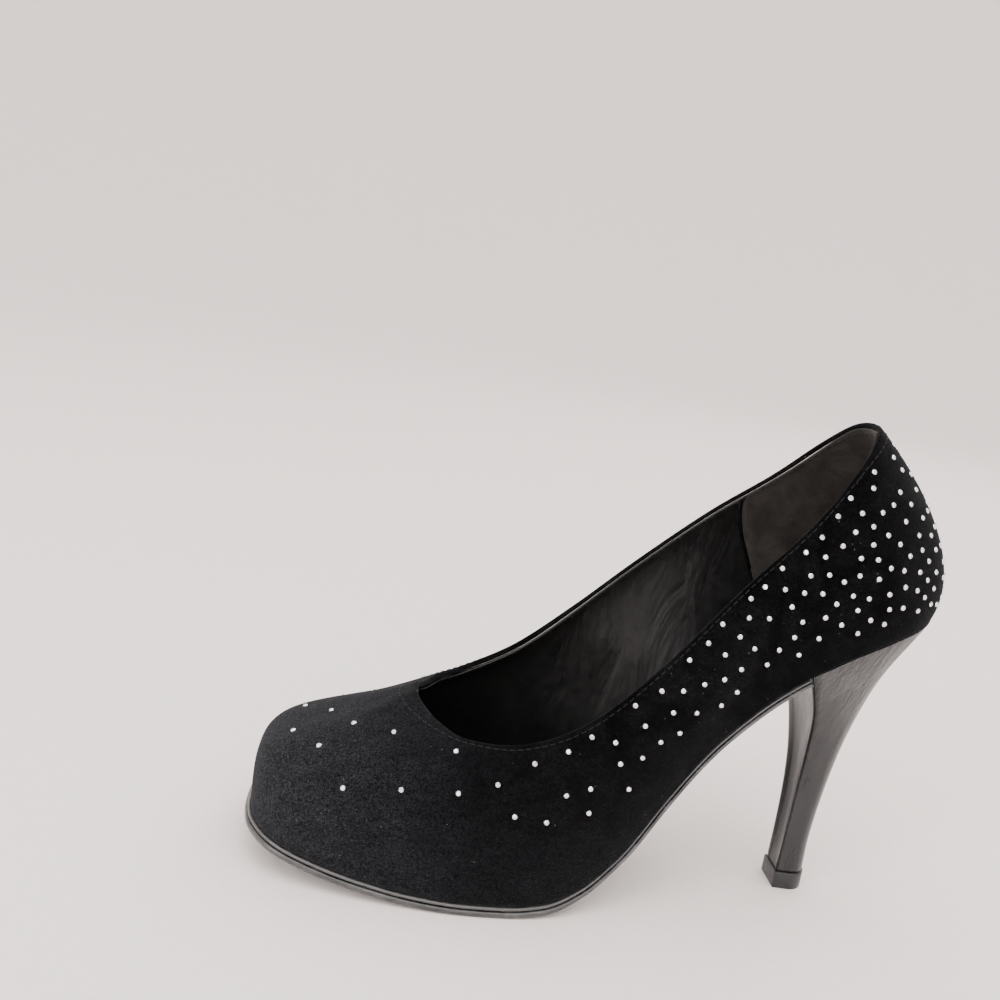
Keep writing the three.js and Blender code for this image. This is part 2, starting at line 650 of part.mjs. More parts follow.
// The core is a stack of rings, closed at the tip and the seat by strips across it.
function heelSolid(inset) {
  const rings = rises.map((t) => ring(t, inset));
  const count = rings[0].length;
  const points = rings.flat();
  const triangles = [];
  rings.slice(1).forEach((_, level) => {
    for (let i = 0; i < count; i += 1) {
      const [a, b] = [level * count + i, level * count + ((i + 1) % count)];
      triangles.push([a, b, b + count], [a, b + count, a + count]);
    }
  });
  const cap = (start, up) => {
    for (let i = 0; i + 1 < count - i - 1; i += 1) {
      const [a, b] = [start + i, start + i + 1];
      const [c, d] = [start + count - i - 1, start + ((count - i) % count)];
      const pair = [[a, b, c], [a, c, d]];
      triangles.push(...(up ? pair : pair.map(([l, m, n]) => [l, n, m])));
    }
  };
  cap((rings.length - 1) * count, true);
  cap(0, false);
  const geometry = new THREE.BufferGeometry();
  geometry.setFromPoints(points);
  geometry.setIndex(triangles.flat());
  return geometry;
}

const tubePlace = new THREE.Matrix4().makeTranslation(tipBack * stretch + tubeFromBack, 0, 0);
add("heel_core", cut(heelSolid(coreInset), [
  rod(tubeRadius + gap, 0, heelBottom + tubeHeight + gap, tubePlace, 24),
  rod(screwRadius + gap, -screwLength - gap, reach, screwPlace),
  ...nailPlaces.map((place) => rod(nailRadius + gap, -nailLength - gap, reach, place, 12)),
]), hardPlastic);
add("heel_tube", turned([
  [tubeBore, heelBottom], [tubeRadius, heelBottom], [tubeRadius, heelBottom + tubeHeight],
  [tubeBore, heelBottom + tubeHeight], [tubeBore, heelBottom],
], tubePlace, 24), steel);

const wrap = [...quarters.slice(1).reverse().map((q) => [q, -1]), ...quarters.map((q) => [q, 1])];
const coverFace = (inset) => wrap.map(([q, side]) => rises.map((t) => onHeel(t, q, side, inset)));
add("heel_cover", sheet(coverFace(0), coverFace(coverThickness)), heelLeather);
const breastFace = (inset) =>
  across.map((r) => rises.map((t) => onBreast(t, r, inset, coreInset)));
add("heel_breast_cover", sheet(breastFace(0), breastFace(coverThickness)), heelLeather);

// ---------- top lift, with the pin that holds it ----------
function liftOutline(flare) {
  const outline = ring(0, -flare);
  return new THREE.Shape(outline.map((p) => new THREE.Vector2(p.x, p.y)));
}
const liftBlock = new THREE.ExtrudeGeometry(
  liftOutline(liftFlare), { depth: liftHeight, bevelEnabled: false });
add("top_lift", cut(liftBlock, [
  rod(pinRadius + gap, pinRecess, liftHeight + reach, tubePlace, 24),
  rod(pinHeadRadius + gap, pinRecess - gap, pinRecess + pinHeadHeight + gap, tubePlace, 24),
]), liftRubber);
add("top_lift_pin", turned([
  [0, pinRecess], [pinHeadRadius, pinRecess], [pinHeadRadius, pinRecess + pinHeadHeight],
  [pinRadius, pinRecess + pinHeadHeight], [pinRadius, heelBottom + pinHeight],
  [0, heelBottom + pinHeight],
], tubePlace, 24), steel);

// ---------- screw, washer and nails that hold the heel on ----------
const washerTop = boardAtSeat + gap + washerThickness;
add("heel_washer", turned([
  [screwRadius + gap, boardAtSeat + gap], [screwHeadRadius, boardAtSeat + gap],
  [screwHeadRadius, washerTop], [screwRadius + gap, washerTop],
  [screwRadius + gap, boardAtSeat + gap],
], screwPlace), steel);
add("heel_screw", turned([
  [0, -screwLength], [screwRadius, -screwLength + 3], [screwRadius, washerTop + gap / 2],
  [screwHeadRadius, washerTop + gap / 2], [screwHeadRadius * 0.8, insoleAtSeat],
  [0, insoleAtSeat],
], screwPlace), steel);
nailPlaces.forEach((place, n) => {
  add(`heel_nail_${n + 1}`, turned([
    [0, -nailLength], [nailRadius, -nailLength + 2], [nailRadius, insoleAtSeat], [0, insoleAtSeat],
  ], place, 12), steel);
});

// ---------- stand the shoe on the middle of its box ----------
const box = new THREE.Box3().setFromObject(shoe);
const centre = box.getCenter(new THREE.Vector3());
shoe.position.set(-centre.x, -centre.y, -box.min.z);
shoe.updateMatrixWorld(true);

export default shoe;
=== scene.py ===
# %% [markdown]
# # A high heel pump, built around its measured parts
# The shoe comes in as thirty-one plain solids, exact in size but coarse and without finish. This
# lesson keeps those sizes and makes what the eye sees: suede with a nap, glossy heel leather,
# polished edges, stitches and small crystals. Lengths below are in millimetres of the shoe, and
# one helper turns them into the metres of the scene.

import math

import bmesh
import bpy
import numpy as np
from mathutils import Matrix, Vector


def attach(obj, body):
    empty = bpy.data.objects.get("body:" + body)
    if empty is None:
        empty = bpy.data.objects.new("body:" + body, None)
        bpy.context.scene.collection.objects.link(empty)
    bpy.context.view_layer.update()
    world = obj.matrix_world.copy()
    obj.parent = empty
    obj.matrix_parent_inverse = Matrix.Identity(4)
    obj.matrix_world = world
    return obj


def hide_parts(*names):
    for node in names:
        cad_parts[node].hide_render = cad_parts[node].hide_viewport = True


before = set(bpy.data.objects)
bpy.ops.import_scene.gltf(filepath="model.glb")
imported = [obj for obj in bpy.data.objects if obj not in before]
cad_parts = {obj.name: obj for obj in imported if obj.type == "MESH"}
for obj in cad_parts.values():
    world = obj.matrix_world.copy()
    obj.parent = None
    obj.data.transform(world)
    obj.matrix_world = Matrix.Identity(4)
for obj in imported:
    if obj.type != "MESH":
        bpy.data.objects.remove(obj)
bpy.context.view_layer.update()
print("parts loaded:", len(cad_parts))

# %% [markdown]
# ## The shape that the leather is drawn over
# A shoemaker pulls the upper over a wooden last. Here the last is a surface too: ribs stand on
# the sole line and rise to the topline, and every rib is a curve with four control points. A
# sculpted mesh would look as good from one side, but a surface with two coordinates (station
# along the shoe, height up the rib) also says where a stitch or a crystal belongs.

# %% The sole line, from the heel seat to the toe
STAND_HEIGHT = 3.8
SEAT_RISE = 104.4
TOE_SPRING = 10.8
WAIST_LINE = np.array([
    [-3, 1], [10, 0.962], [28, 0.888], [50, 0.736], [66, 0.562], [82, 0.34],
    [96, 0.15], [108, 0.05], [119, 0.01], [132, 0], [144, 0], [218, 0]])
SPRING_LINE = np.array([[-3, 0], [144, 0], [162, 0.08], [180, 0.28], [200, 0.6], [218, 1]])


def ease(x, low, high):
    """0 up to low, 1 from high, and a smooth step between."""
    share = np.clip((x - low) / (high - low), 0, 1)
    return share * share * (3 - 2 * share)


def curve_at(points, x):
    """Value and slope at x of a smooth curve that never overshoots its points."""
    px, py = points[:, 0], points[:, 1]
    secant = np.diff(py) / np.diff(px)
    slope = np.concatenate([secant[:1], np.zeros(len(px) - 2), secant[-1:]])
    before, after = secant[:-1], secant[1:]
    same_way = before * after > 0
    slope[1:-1][same_way] = (2 * before * after)[same_way] / (before + after)[same_way]
    x = np.asarray(x, float)
    i = np.clip(np.searchsorted(px, x) - 1, 0, len(px) - 2)
    width = px[i + 1] - px[i]
    t = (x - px[i]) / width
    m0, m1, y0, y1 = slope[i] * width, slope[i + 1] * width, py[i], py[i + 1]
    u = np.clip(t, 0, 1)
    value = ((2 * u**3 - 3 * u**2 + 1) * y0 + (u**3 - 2 * u**2 + u) * m0
             + (3 * u**2 - 2 * u**3) * y1 + (u**3 - u**2) * m1)
    tilt = (6 * u**2 - 6 * u) * (y0 - y1) + (3 * u**2 - 4 * u + 1) * m0 + (3 * u**2 - 2 * u) * m1
    value = value + np.where(t < 0, m0 * t, 0) + np.where(t > 1, m1 * (t - 1), 0)
    return value, tilt / width


def sole_line(x):
    waist, waist_slope = curve_at(WAIST_LINE, x)
    spring, spring_slope = curve_at(SPRING_LINE, x)
    z = STAND_HEIGHT + SEAT_RISE * waist + TOE_SPRING * spring
    slope = SEAT_RISE * waist_slope + TOE_SPRING * spring_slope
    length = np.sqrt(1 + slope**2)
    return z, np.stack([-slope / length, 0 * slope, 1 / length], -1)


def above_sole(point):
    """Where along the sole line a point stands, and how high above it."""
    x = point[..., 0].copy()
    for _ in range(14):
        z, normal = sole_line(x)
        along = (point[..., 0] - x) * normal[..., 2] - (point[..., 2] - z) * normal[..., 0]
        x += along * normal[..., 2] * 0.8
    z, normal = sole_line(x)
    return x, (point[..., 0] - x) * normal[..., 0] + (point[..., 2] - z) * normal[..., 2]


print("heel seat", sole_line(-3.0)[0].round(1), "mm up, toe", sole_line(217.0)[0].round(1), "mm up")

# %% The ribs of the last
RIBS = {
    "foot_x": [-3, 1, 11, 28, 50, 75, 98, 122, 150, 177, 196, 207.5, 214.4, 217, 217.6],
    "foot_outer": [0, 11.5, 20.3, 25, 24.2, 22.6, 30.2, 37.6, 39.2, 36.2, 31.6, 26.4, 18.4, 9.6, 0],
    "foot_inner": [0, 11.5, 20.5, 25.2, 22.8, 18.8, 24.5, 33.4, 40.2, 39, 34, 28, 19.6, 10, 0],
    "top_forward": [32, 30.5, 28, 24, 21, 18, 15, 10, 0, -17.5, -32, -41, -46.8, -49, -49.6],
    "top_outer": [0, 10.5, 18, 22.8, 26, 29.5, 31.2, 29, 23.5, 16.8, 10.6, 6.6, 3.7, 1.8, 0],
    "top_inner": [0, 10.8, 18.4, 23.6, 27.2, 31, 32.8, 30.4, 24.8, 17.6, 10.8, 6.7, 3.7, 1.8, 0],
    "rise_outer": [60, 58.6, 51.4, 39.5, 33, 36, 48, 50.2, 48, 47.4, 46, 45, 44.4, 43.8, 43.6],
    "rise_inner": [60, 59, 53.6, 46.5, 45.5, 54, 65.5, 62.5, 54.5, 50.5, 47, 45.4, 44.5, 43.8,
                   43.6],
    "swell": [7, 6.5, 5.4, 4, 4, 6, 6, 3.5, 2.4, 2, 1.6, 1.4, 1.2, 1.2, 1.2],
    "swell_height": [17.5, 17.5, 17, 15, 14, 16, 21, 24, 27, 28, 29, 31, 33, 34, 34],
    "top_out": [20.5, 16.5, 10.4, 5, 4, 4, 5, 10, 13, 22.5, 35, 42, 45, 47.5, 48],
    "top_down": [18, 17, 15, 13, 12, 14, 14, 9, 5.5, 12.5, 18.5, 22.5, 25, 26.5, 27],
}
RIBS = {name: np.array(values, float) for name, values in RIBS.items()}
TOE = len(RIBS["foot_x"]) - 1
AROUND = 2 * TOE
FULL_SIDE_WIDTH = 24.0
MIDDLE_X = 110.0
FAN_START, FAN_END = 150.0, 177.0  # over the toe the ribs fan out from the throat


def side_controls(side):
    """Foot, lower, upper and top control points of each rib on one side of the shoe."""
    name = "outer" if side > 0 else "inner"
    foot_x, width = RIBS["foot_x"], RIBS["foot_" + name]
    foot = np.stack([foot_x, side * width, sole_line(foot_x)[0]], -1)
    top = np.stack([foot_x + RIBS["top_forward"], side * RIBS["top_" + name],
                    foot[:, 2] + RIBS["rise_" + name]], -1)
    share = ease(width, 0, FULL_SIDE_WIDTH)[:, None]
    end = np.where(foot_x < MIDDLE_X, -1.0, 1.0)[:, None]
    zero = 0 * share
    out = np.concatenate([end * (1 - share), side * share, zero], 1)
    out /= np.linalg.norm(out, axis=1, keepdims=True)
    up = np.array([[0, 0, 1.0]])
    lower = foot + out * RIBS["swell"][:, None] + up * RIBS["swell_height"][:, None]
    outward = (foot - top) * [1, 1, 0]
    reach = np.linalg.norm(outward, axis=1, keepdims=True)
    fan = 1 - np.clip((foot_x[:, None] - FAN_START) / (FAN_END - FAN_START), 0, 1)
    share_top = np.where(foot_x[:, None] > MIDDLE_X, fan, share)
    from_top = outward * (1 - share_top) + out * reach * share_top
    from_top /= np.linalg.norm(from_top, axis=1, keepdims=True)
    upper = top + from_top * RIBS["top_out"][:, None] - up * RIBS["top_down"][:, None]
    return np.stack([foot, lower, upper, top])


outer_ribs, inner_ribs = side_controls(1), side_controls(-1)
control_loops = np.concatenate([outer_ribs, inner_ribs[:, 1:-1][:, ::-1]], axis=1)
print("ribs round the shoe:", control_loops.shape[1])


# %% Points on the last and on the sole
def loop_point(k, s):
    """A point on control loop k at station s, through its ribs without corners."""
    s = np.mod(s, AROUND)
    i = np.floor(s).astype(int) % AROUND
    f = (s - np.floor(s))[..., None]
    p0, p1, p2, p3 = [control_loops[k][(i + d) % AROUND] for d in (-1, 0, 1, 2)]
    return 0.5 * (2 * p1 + (p2 - p0) * f + (2 * p0 - 5 * p1 + 4 * p2 - p3) * f**2
                  + (3 * p1 - p0 - 3 * p2 + p3) * f**3)


def foot_at(s):
    point = loop_point(0, s)
    point[..., 2] = sole_line(point[..., 0])[0]
    return point


def last_point(s, v):
    s, v = np.broadcast_arrays(np.asarray(s, float), np.asarray(v, float))
    v = v[..., None]
    w = 1 - v
    return (foot_at(s) * w**3 + loop_point(1, s) * 3 * w * w * v
            + loop_point(2, s) * 3 * w * v * v + loop_point(3, s) * v**3)


def on_last(s, v, inset=0.0):
    """A point at station s and height v (0 foot, 1 topline), set in from the outside."""
    s, v = np.broadcast_arrays(np.asarray(s, float), np.asarray(v, float))
    along = last_point(s + 0.02, v) - last_point(s - 0.02, v)
    up = last_point(s, np.minimum(1, v + 0.004)) - last_point(s, np.maximum(0, v - 0.004))
    inward = np.cross(along, up)
    inward /= np.linalg.norm(inward, axis=-1, keepdims=True)
    return last_point(s, v) + inward * np.asarray(inset, float)[..., None]


def on_sole(s, out, h):
    """A point out past the foot of the upper (or in, if negative), h above the sole line."""
    s, out, h = np.broadcast_arrays(*[np.asarray(a, float) for a in (s, out, h)])
    foot = foot_at(s)
    normal = sole_line(foot[..., 0])[1]
    run = foot_at(s + 0.02) - foot_at(s - 0.02)
    outward = np.cross(normal, run)
    outward /= np.linalg.norm(outward, axis=-1, keepdims=True)
    shifted = foot + outward * out[..., None]
    x, _ = above_sole(shifted)
    z, normal = sole_line(x)
    return np.stack([x, shifted[..., 1], z], -1) + normal * h[..., None]


def level_on(s, inset, height):
    """The v at which the last, set in by inset, stands height above the sole line."""
    s = np.asarray(s, float)
    low, high = np.zeros_like(s), np.full_like(s, 0.75)
    for _ in range(20):
        v = (low + high) / 2
        x, h = above_sole(on_last(s, v, inset))
        wanted = height(x) if callable(height) else height
        low, high = np.where(h < wanted, v, low), np.where(h < wanted, high, v)
    return (low + high) / 2


# The shoe's own zero lies at the heel seat; the scene's lies under the middle of the shoe.
TO_SCENE = np.array([-0.10753, 0.00064, 0.0])
toe_x = (last_point(TOE, np.linspace(0, 0.5, 60))[:, 0].max()) / 1000 + TO_SCENE[0]

# %% [markdown]
# ## Turning grids of points into pieces
# Every piece of leather here is a sheet: a grid of points for its face and another for its back.
# Modifiers such as Solidify could add the thickness, but two grids keep each layer exactly
# between its neighbours, and the edges between them can be given listed rounded profiles.

# %% Mesh helpers
def make_piece(name, points, faces, smooth=True):
    """A mesh object from points in shoe millimetres, with faces turned outwards."""
    mesh = bpy.data.meshes.new(name)
    mesh.from_pydata((np.asarray(points).reshape(-1, 3) / 1000 + TO_SCENE).tolist(), [], faces)
    shape = bmesh.new()
    shape.from_mesh(mesh)
    bmesh.ops.remove_doubles(shape, verts=shape.verts, dist=2e-6)
    bmesh.ops.dissolve_degenerate(shape, edges=shape.edges, dist=1e-6)
    bmesh.ops.recalc_face_normals(shape, faces=shape.faces)
    shape.to_mesh(mesh)
    shape.free()
    mesh.polygons.foreach_set("use_smooth", [smooth] * len(mesh.polygons))
    piece = bpy.data.objects.new(name, mesh)
    bpy.context.scene.collection.objects.link(piece)
    return piece


def grid_faces(rows, columns, close_rows=False, close_columns=False, start=0):
    """Faces of a grid of rows by columns points, joined round where asked."""
    faces = []
    for i in range(rows if close_rows else rows - 1):
        for j in range(columns if close_columns else columns - 1):
            a, b = i * columns, ((i + 1) % rows) * columns
            k = (j + 1) % columns
            faces.append((start + a + j, start + b + j, start + b + k, start + a + k))
    return faces


def loft(name, sections, close_rows=False):
    """A closed body through sections of points: each section is a ring, the ends are filled."""
    rows, columns = sections.shape[:2]
    faces = grid_faces(rows, columns, close_rows, close_columns=True)
    if not close_rows:
        faces.append(tuple(range(columns)))
        faces.append(tuple(range((rows - 1) * columns, rows * columns)))
    return make_piece(name, sections, faces)


def stations(*spans):
    """Stations from spans of (start, end, count), without repeats."""
    return np.unique(np.round(np.concatenate([np.linspace(*span) for span in spans]), 5))


def finish_piece(piece, material, slot_name, *nodes):
    """Gives a piece its material, hangs it on the root body and hides the parts it stands for."""
    piece.data.materials.clear()
    piece.data.materials.append(material)
    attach(piece, "root")
    if nodes:
        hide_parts(*nodes)
    print(piece.name, "points", len(piece.data.vertices), "faces", len(piece.data.polygons))


print("mesh helpers ready")

# %% [markdown]
# ## Building finishes from nodes
# A finish is a small network: a pattern of noise in millimetres of the shoe, a ramp that turns it
# into colour or roughness, and a bump that turns it into relief. Textures painted on an image
# would blur close up, so the patterns are computed where the surface is.

# %% Material helpers
def shader_socket(material, name):
    return material.node_tree.nodes["Principled BSDF"].inputs[name]


def new_finish(name, **sockets):
    """A material whose shader has the values in sockets all over the surface."""
    material = bpy.data.materials.new(name)
    material.use_nodes = True
    for socket, value in sockets.items():
        shader_socket(material, socket.replace("_", " ")).default_value = value
    return material


def pattern_space(material, stretch=(1, 1, 1), turn=(0, 0, 0)):
    """Object coordinates in millimetres, stretched along the shoe's axes."""
    nodes, links = material.node_tree.nodes, material.node_tree.links
    mapping = nodes.new("ShaderNodeMapping")
    mapping.inputs["Scale"].default_value = [1000 * share for share in stretch]
    mapping.inputs["Rotation"].default_value = [math.radians(angle) for angle in turn]
    links.new(nodes.new("ShaderNodeTexCoord").outputs["Object"], mapping.inputs["Vector"])
    return mapping.outputs["Vector"]


def noise(material, size, detail=3.0, rough=0.55, space=None, warp=0.0):
    """Noise with features of about size millimetres."""
    node = material.node_tree.nodes.new("ShaderNodeTexNoise")
    node.inputs["Scale"].default_value = 1 / size
    node.inputs["Detail"].default_value = detail
    node.inputs["Roughness"].default_value = rough
    node.inputs["Distortion"].default_value = warp
    material.node_tree.links.new(space or pattern_space(material), node.inputs["Vector"])
    return node.outputs["Fac"]


def cells(material, size, jitter=1.0):
    """Distance from the nearest of scattered points, about size millimetres apart."""
    node = material.node_tree.nodes.new("ShaderNodeTexVoronoi")
    node.inputs["Scale"].default_value = 1 / size
    node.inputs["Randomness"].default_value = jitter
    material.node_tree.links.new(pattern_space(material), node.inputs["Vector"])
    return node.outputs["Distance"]


def ramp(material, fac, stops):
    """Colours or greys along a value: stops are (place, colour)."""
    node = material.node_tree.nodes.new("ShaderNodeValToRGB")
    elements = node.color_ramp.elements
    while len(elements) < len(stops):
        elements.new(0.5)
    for element, (place, colour) in zip(elements, stops):
        element.position = place
        grey = isinstance(colour, (int, float))
        element.color = (colour, colour, colour, 1) if grey else (*colour, 1)
    material.node_tree.links.new(fac, node.inputs["Fac"])
    return node.outputs["Color"]


def maths(material, operation, a, b=0.0):
    node = material.node_tree.nodes.new("ShaderNodeMath")
    node.operation = operation
    for socket, value in zip(node.inputs, (a, b)):
        if isinstance(value, (int, float)):
            socket.default_value = value
        else:
            material.node_tree.links.new(value, socket)
    return node.outputs["Value"]


def blend(material, fac, a, b, mode="MIX"):
    """Mixes two colours; fac, a and b are links or plain values."""
    node = material.node_tree.nodes.new("ShaderNodeMix")
    node.data_type = "RGBA"
    node.blend_type = mode
    for socket, value in ((node.inputs[0], fac), (node.inputs[6], a), (node.inputs[7], b)):
        if isinstance(value, (int, float)):
            socket.default_value = value
        elif isinstance(value, tuple):
            socket.default_value = (*value, 1)
        else:
            material.node_tree.links.new(value, socket)
    return node.outputs[2]


def relief(material, *layers):
    """Adds bumps one on another; each layer is (height, strength, depth in millimetres)."""
    below = None
    for height, strength, depth in layers:
        node = material.node_tree.nodes.new("ShaderNodeBump")
        node.inputs["Strength"].default_value = strength
        node.inputs["Distance"].default_value = depth / 1000
        material.node_tree.links.new(height, node.inputs["Height"])
        if below:
            material.node_tree.links.new(below, node.inputs["Normal"])
        below = node.outputs["Normal"]
    feed(material, below, "Normal")


def feed(material, value, socket):
    material.node_tree.links.new(value, shader_socket(material, socket))


def vary(material, socket, fac, *stops):
    """Lets a socket of the shader follow a pattern: stops are (place, value)."""
    feed(material, ramp(material, fac, stops), socket)


def along_mask(material, axis, low, high):
    """0 before low and 1 after high, in millimetres along an axis of the scene."""
    nodes, links = material.node_tree.nodes, material.node_tree.links
    split = nodes.new("ShaderNodeSeparateXYZ")
    links.new(pattern_space(material), split.inputs["Vector"])
    node = nodes.new("ShaderNodeMapRange")
    node.inputs["From Min"].default_value = low
    node.inputs["From Max"].default_value = high
    links.new(split.outputs[axis], node.inputs["Value"])
    return node.outputs["Result"]


# %% [markdown]
# ## Suede
# Suede is leather with its flesh side out: fibres stand up, lie over in patches where a hand has
# brushed them, and catch the light at the edge of every curve. Hair particles would show single
# fibres, but a nap this short reads as colour patches, a fine relief and the shader's own sheen.

# %% Black suede of the upper
suede = new_finish(
    "black_suede", Roughness=0.96, Specular_IOR_Level=0.04, Sheen_Weight=0.06,
    Sheen_Roughness=0.35, Sheen_Tint=(0.74, 0.78, 0.84, 1))
brushed = noise(suede, 17, 3, 0.6, warp=1.2)
hand_marks = noise(suede, 5, 4, 0.65, pattern_space(suede, (0.4, 1, 1), (0, 25, 0)))
fibres = noise(suede, 0.3, 2, 0.8)
tufts = noise(suede, 0.8, 3, 0.75)
colour = ramp(suede, brushed, [(0.34, (0.0008, 0.0008, 0.001)), (0.7, (0.0036, 0.0038, 0.0043))])
worn_low = along_mask(suede, "Z", 46, 8)
colour = blend(suede, maths(suede, "MULTIPLY", worn_low, 0.7), colour, (0.006, 0.0063, 0.0071))
# Towards the toe the suede is painted lighter: partly wear of the nap, partly painted light where
# the light falls on the toe.
toe_wear_and_painted_light = along_mask(suede, "X", 35, 105)
colour = blend(suede, toe_wear_and_painted_light, colour, (0.0135, 0.0143, 0.0162))
for amount, pattern, stops in ((0.5, hand_marks, [(0.3, 0.55), (0.7, 1.35)]),
                               (0.85, tufts, [(0.36, 0.25), (0.64, 1.8)]),
                               (0.85, fibres, [(0.38, 0.1), (0.66, 2.8)])):
    colour = blend(suede, amount, colour, ramp(suede, pattern, stops), "MULTIPLY")
dust = maths(suede, "LESS_THAN", cells(suede, 2.6), 0.09)
dust = maths(suede, "MULTIPLY", dust, ramp(suede, noise(suede, 7, 2), [(0.5, 0.0), (0.62, 0.55)]))
feed(suede, blend(suede, dust, colour, (0.11, 0.11, 0.115)), "Base Color")
relief(suede, (tufts, 0.7, 0.4), (fibres, 0.9, 0.2))
print("suede nodes:", len(suede.node_tree.nodes))

# %% Suede of the heel lining, rubbed grey-brown by the foot
lining_suede = new_finish(
    "lining_suede", Roughness=0.9, Specular_IOR_Level=0.1, Sheen_Weight=0.1,
    Sheen_Roughness=0.5, Sheen_Tint=(0.9, 0.82, 0.75, 1))
rubbed = noise(lining_suede, 11, 4, 0.6, warp=0.8)
nap = noise(lining_suede, 0.45, 3, 0.7)
colour = ramp(lining_suede, rubbed, [(0.3, (0.016, 0.0142, 0.0134)), (0.7, (0.036, 0.033, 0.031))])
shade = ramp(lining_suede, nap, [(0.3, 0.6), (0.72, 1.4)])
colour = blend(lining_suede, 0.6, colour, shade, "MULTIPLY")
feed(lining_suede, colour, "Base Color")
relief(lining_suede, (rubbed, 0.25, 0.5), (nap, 0.6, 0.12))
print("lining suede nodes:", len(lining_suede.node_tree.nodes))

# %% [markdown]
# ## Smooth leathers
# Lining leather is thin and creases where the foot bends it; heel leather is stretched over a
# block, polished, and shows fine gathers near the seat; the sole edge is waxed and burnished.
# All are black, so only the way they shine tells them apart: roughness and relief do it.

# %% Creased lining leather
lining_leather = new_finish(
    "lining_leather", Specular_IOR_Level=0.36, Coat_Weight=0.06, Coat_Roughness=0.35)
pores = cells(lining_leather, 0.55)
slanted = pattern_space(lining_leather, (1, 1, 0.35), (0, 35, 20))
creases = noise(lining_leather, 14, 3, 0.5, slanted, 0.9)
scuffs = noise(lining_leather, 3.5, 5, 0.65)
vary(lining_leather, "Base Color", scuffs,
     (0.3, (0.0028, 0.0028, 0.003)), (0.75, (0.0065, 0.0063, 0.0063)))
vary(lining_leather, "Roughness", scuffs, (0.3, 0.3), (0.7, 0.44))
relief(lining_leather, (creases, 0.5, 2.0), (pores, 0.25, 0.05))
print("lining leather nodes:", len(lining_leather.node_tree.nodes))

# %% Glossy leather of the heel, gathered below the seat
heel_leather = new_finish(
    "heel_leather", Specular_IOR_Level=0.32, Coat_Weight=0.16, Coat_Roughness=0.14)
grain = cells(heel_leather, 0.7, jitter=0.9)
along_folds = pattern_space(heel_leather, (1, 1, 0.16), (0, -28, 0))
gathers = noise(heel_leather, 2.4, 4, 0.6, along_folds, 0.6)
drawn = noise(heel_leather, 6, 3, 0.5, pattern_space(heel_leather, (1, 1, 0.25)))
near_seat = along_mask(heel_leather, "Z", 62, 96)
gathered = maths(heel_leather, "MULTIPLY", gathers, near_seat)
wear = noise(heel_leather, 5, 4, 0.6, pattern_space(heel_leather, (1, 1, 0.2)))
vary(heel_leather, "Base Color", wear,
     (0.35, (0.012, 0.0123, 0.0132)), (0.75, (0.025, 0.0254, 0.0272)))
vary(heel_leather, "Roughness", wear, (0.35, 0.26), (0.72, 0.36))
relief(heel_leather, (drawn, 0.45, 0.7), (gathered, 1.0, 1.3), (grain, 0.3, 0.05))
print("heel leather nodes:", len(heel_leather.node_tree.nodes))

# %% Waxed sole edge, sole leather, sock and top lift
sole_edge = new_finish(
    "waxed_edge", Specular_IOR_Level=0.45, Coat_Weight=0.45, Coat_Roughness=0.14)
rubs = noise(sole_edge, 9, 5, 0.7, pattern_space(sole_edge, (0.5, 0.5, 2)))
nicks = noise(sole_edge, 1.3, 3, 0.7)
vary(sole_edge, "Base Color", rubs, (0.36, (0.014, 0.014, 0.015)), (0.68, (0.075, 0.074, 0.074)))
vary(sole_edge, "Roughness", rubs, (0.35, 0.16), (0.7, 0.34))
relief(sole_edge, (rubs, 0.15, 0.4), (nicks, 0.25, 0.08))

sole_board = new_finish(
    "sole_leather", Specular_IOR_Level=0.6, Coat_Weight=0.7, Coat_Roughness=0.14)
layers = noise(sole_board, 1.1, 4, 0.6, pattern_space(sole_board, (0.3, 0.3, 3)))
vary(sole_board, "Base Color", layers, (0.3, (0.014, 0.014, 0.015)), (0.7, (0.055, 0.054, 0.055)))
vary(sole_board, "Roughness", layers, (0.3, 0.3), (0.7, 0.5))
relief(sole_board, (layers, 0.3, 0.15))

sock_leather = new_finish("sock_leather", Specular_IOR_Level=0.35)
tread_marks = noise(sock_leather, 13, 4, 0.6)
sock_grain = cells(sock_leather, 0.6)
vary(sock_leather, "Base Color", tread_marks,
     (0.3, (0.011, 0.0105, 0.0105)), (0.72, (0.024, 0.022, 0.021)))
vary(sock_leather, "Roughness", tread_marks, (0.3, 0.48), (0.7, 0.7))
relief(sock_leather, (tread_marks, 0.2, 0.6), (sock_grain, 0.3, 0.05))

lift_rubber = new_finish("lift_rubber", Specular_IOR_Level=0.45)
scrapes = noise(lift_rubber, 1.5, 4, 0.7, pattern_space(lift_rubber, (1, 1, 3)))
vary(lift_rubber, "Base Color", scrapes, (0.35, (0.010, 0.010, 0.011)), (0.8, (0.03, 0.03, 0.031)))
vary(lift_rubber, "Roughness", scrapes, (0.35, 0.3), (0.7, 0.5))
relief(lift_rubber, (scrapes, 0.25, 0.15))
print("edge, sock and lift finishes ready")

# %% [markdown]
# ## Finishes that the upper hides
# A pair is taken apart by repairers, so the inside is finished too: cork and foam have grains,
# boards have fibres, tapes are woven and steel is brushed. Each is one noise or weave with the
# size of the real grain.

# %% Boards, foams, cloth, plastic and steel
def grained(name, dark, light, size, roughness, depth, stretch=(1, 1, 1), **sockets):
    """A finish whose colour, roughness and relief all follow one noise."""
    material = new_finish(name, **sockets)
    fac = noise(material, size, 4, 0.6, pattern_space(material, stretch))
    vary(material, "Base Color", fac, (0.32, dark), (0.7, light))
    vary(material, "Roughness", fac, (0.3, roughness[0]), (0.7, roughness[1]))
    relief(material, (fac, 0.5, depth))
    return material


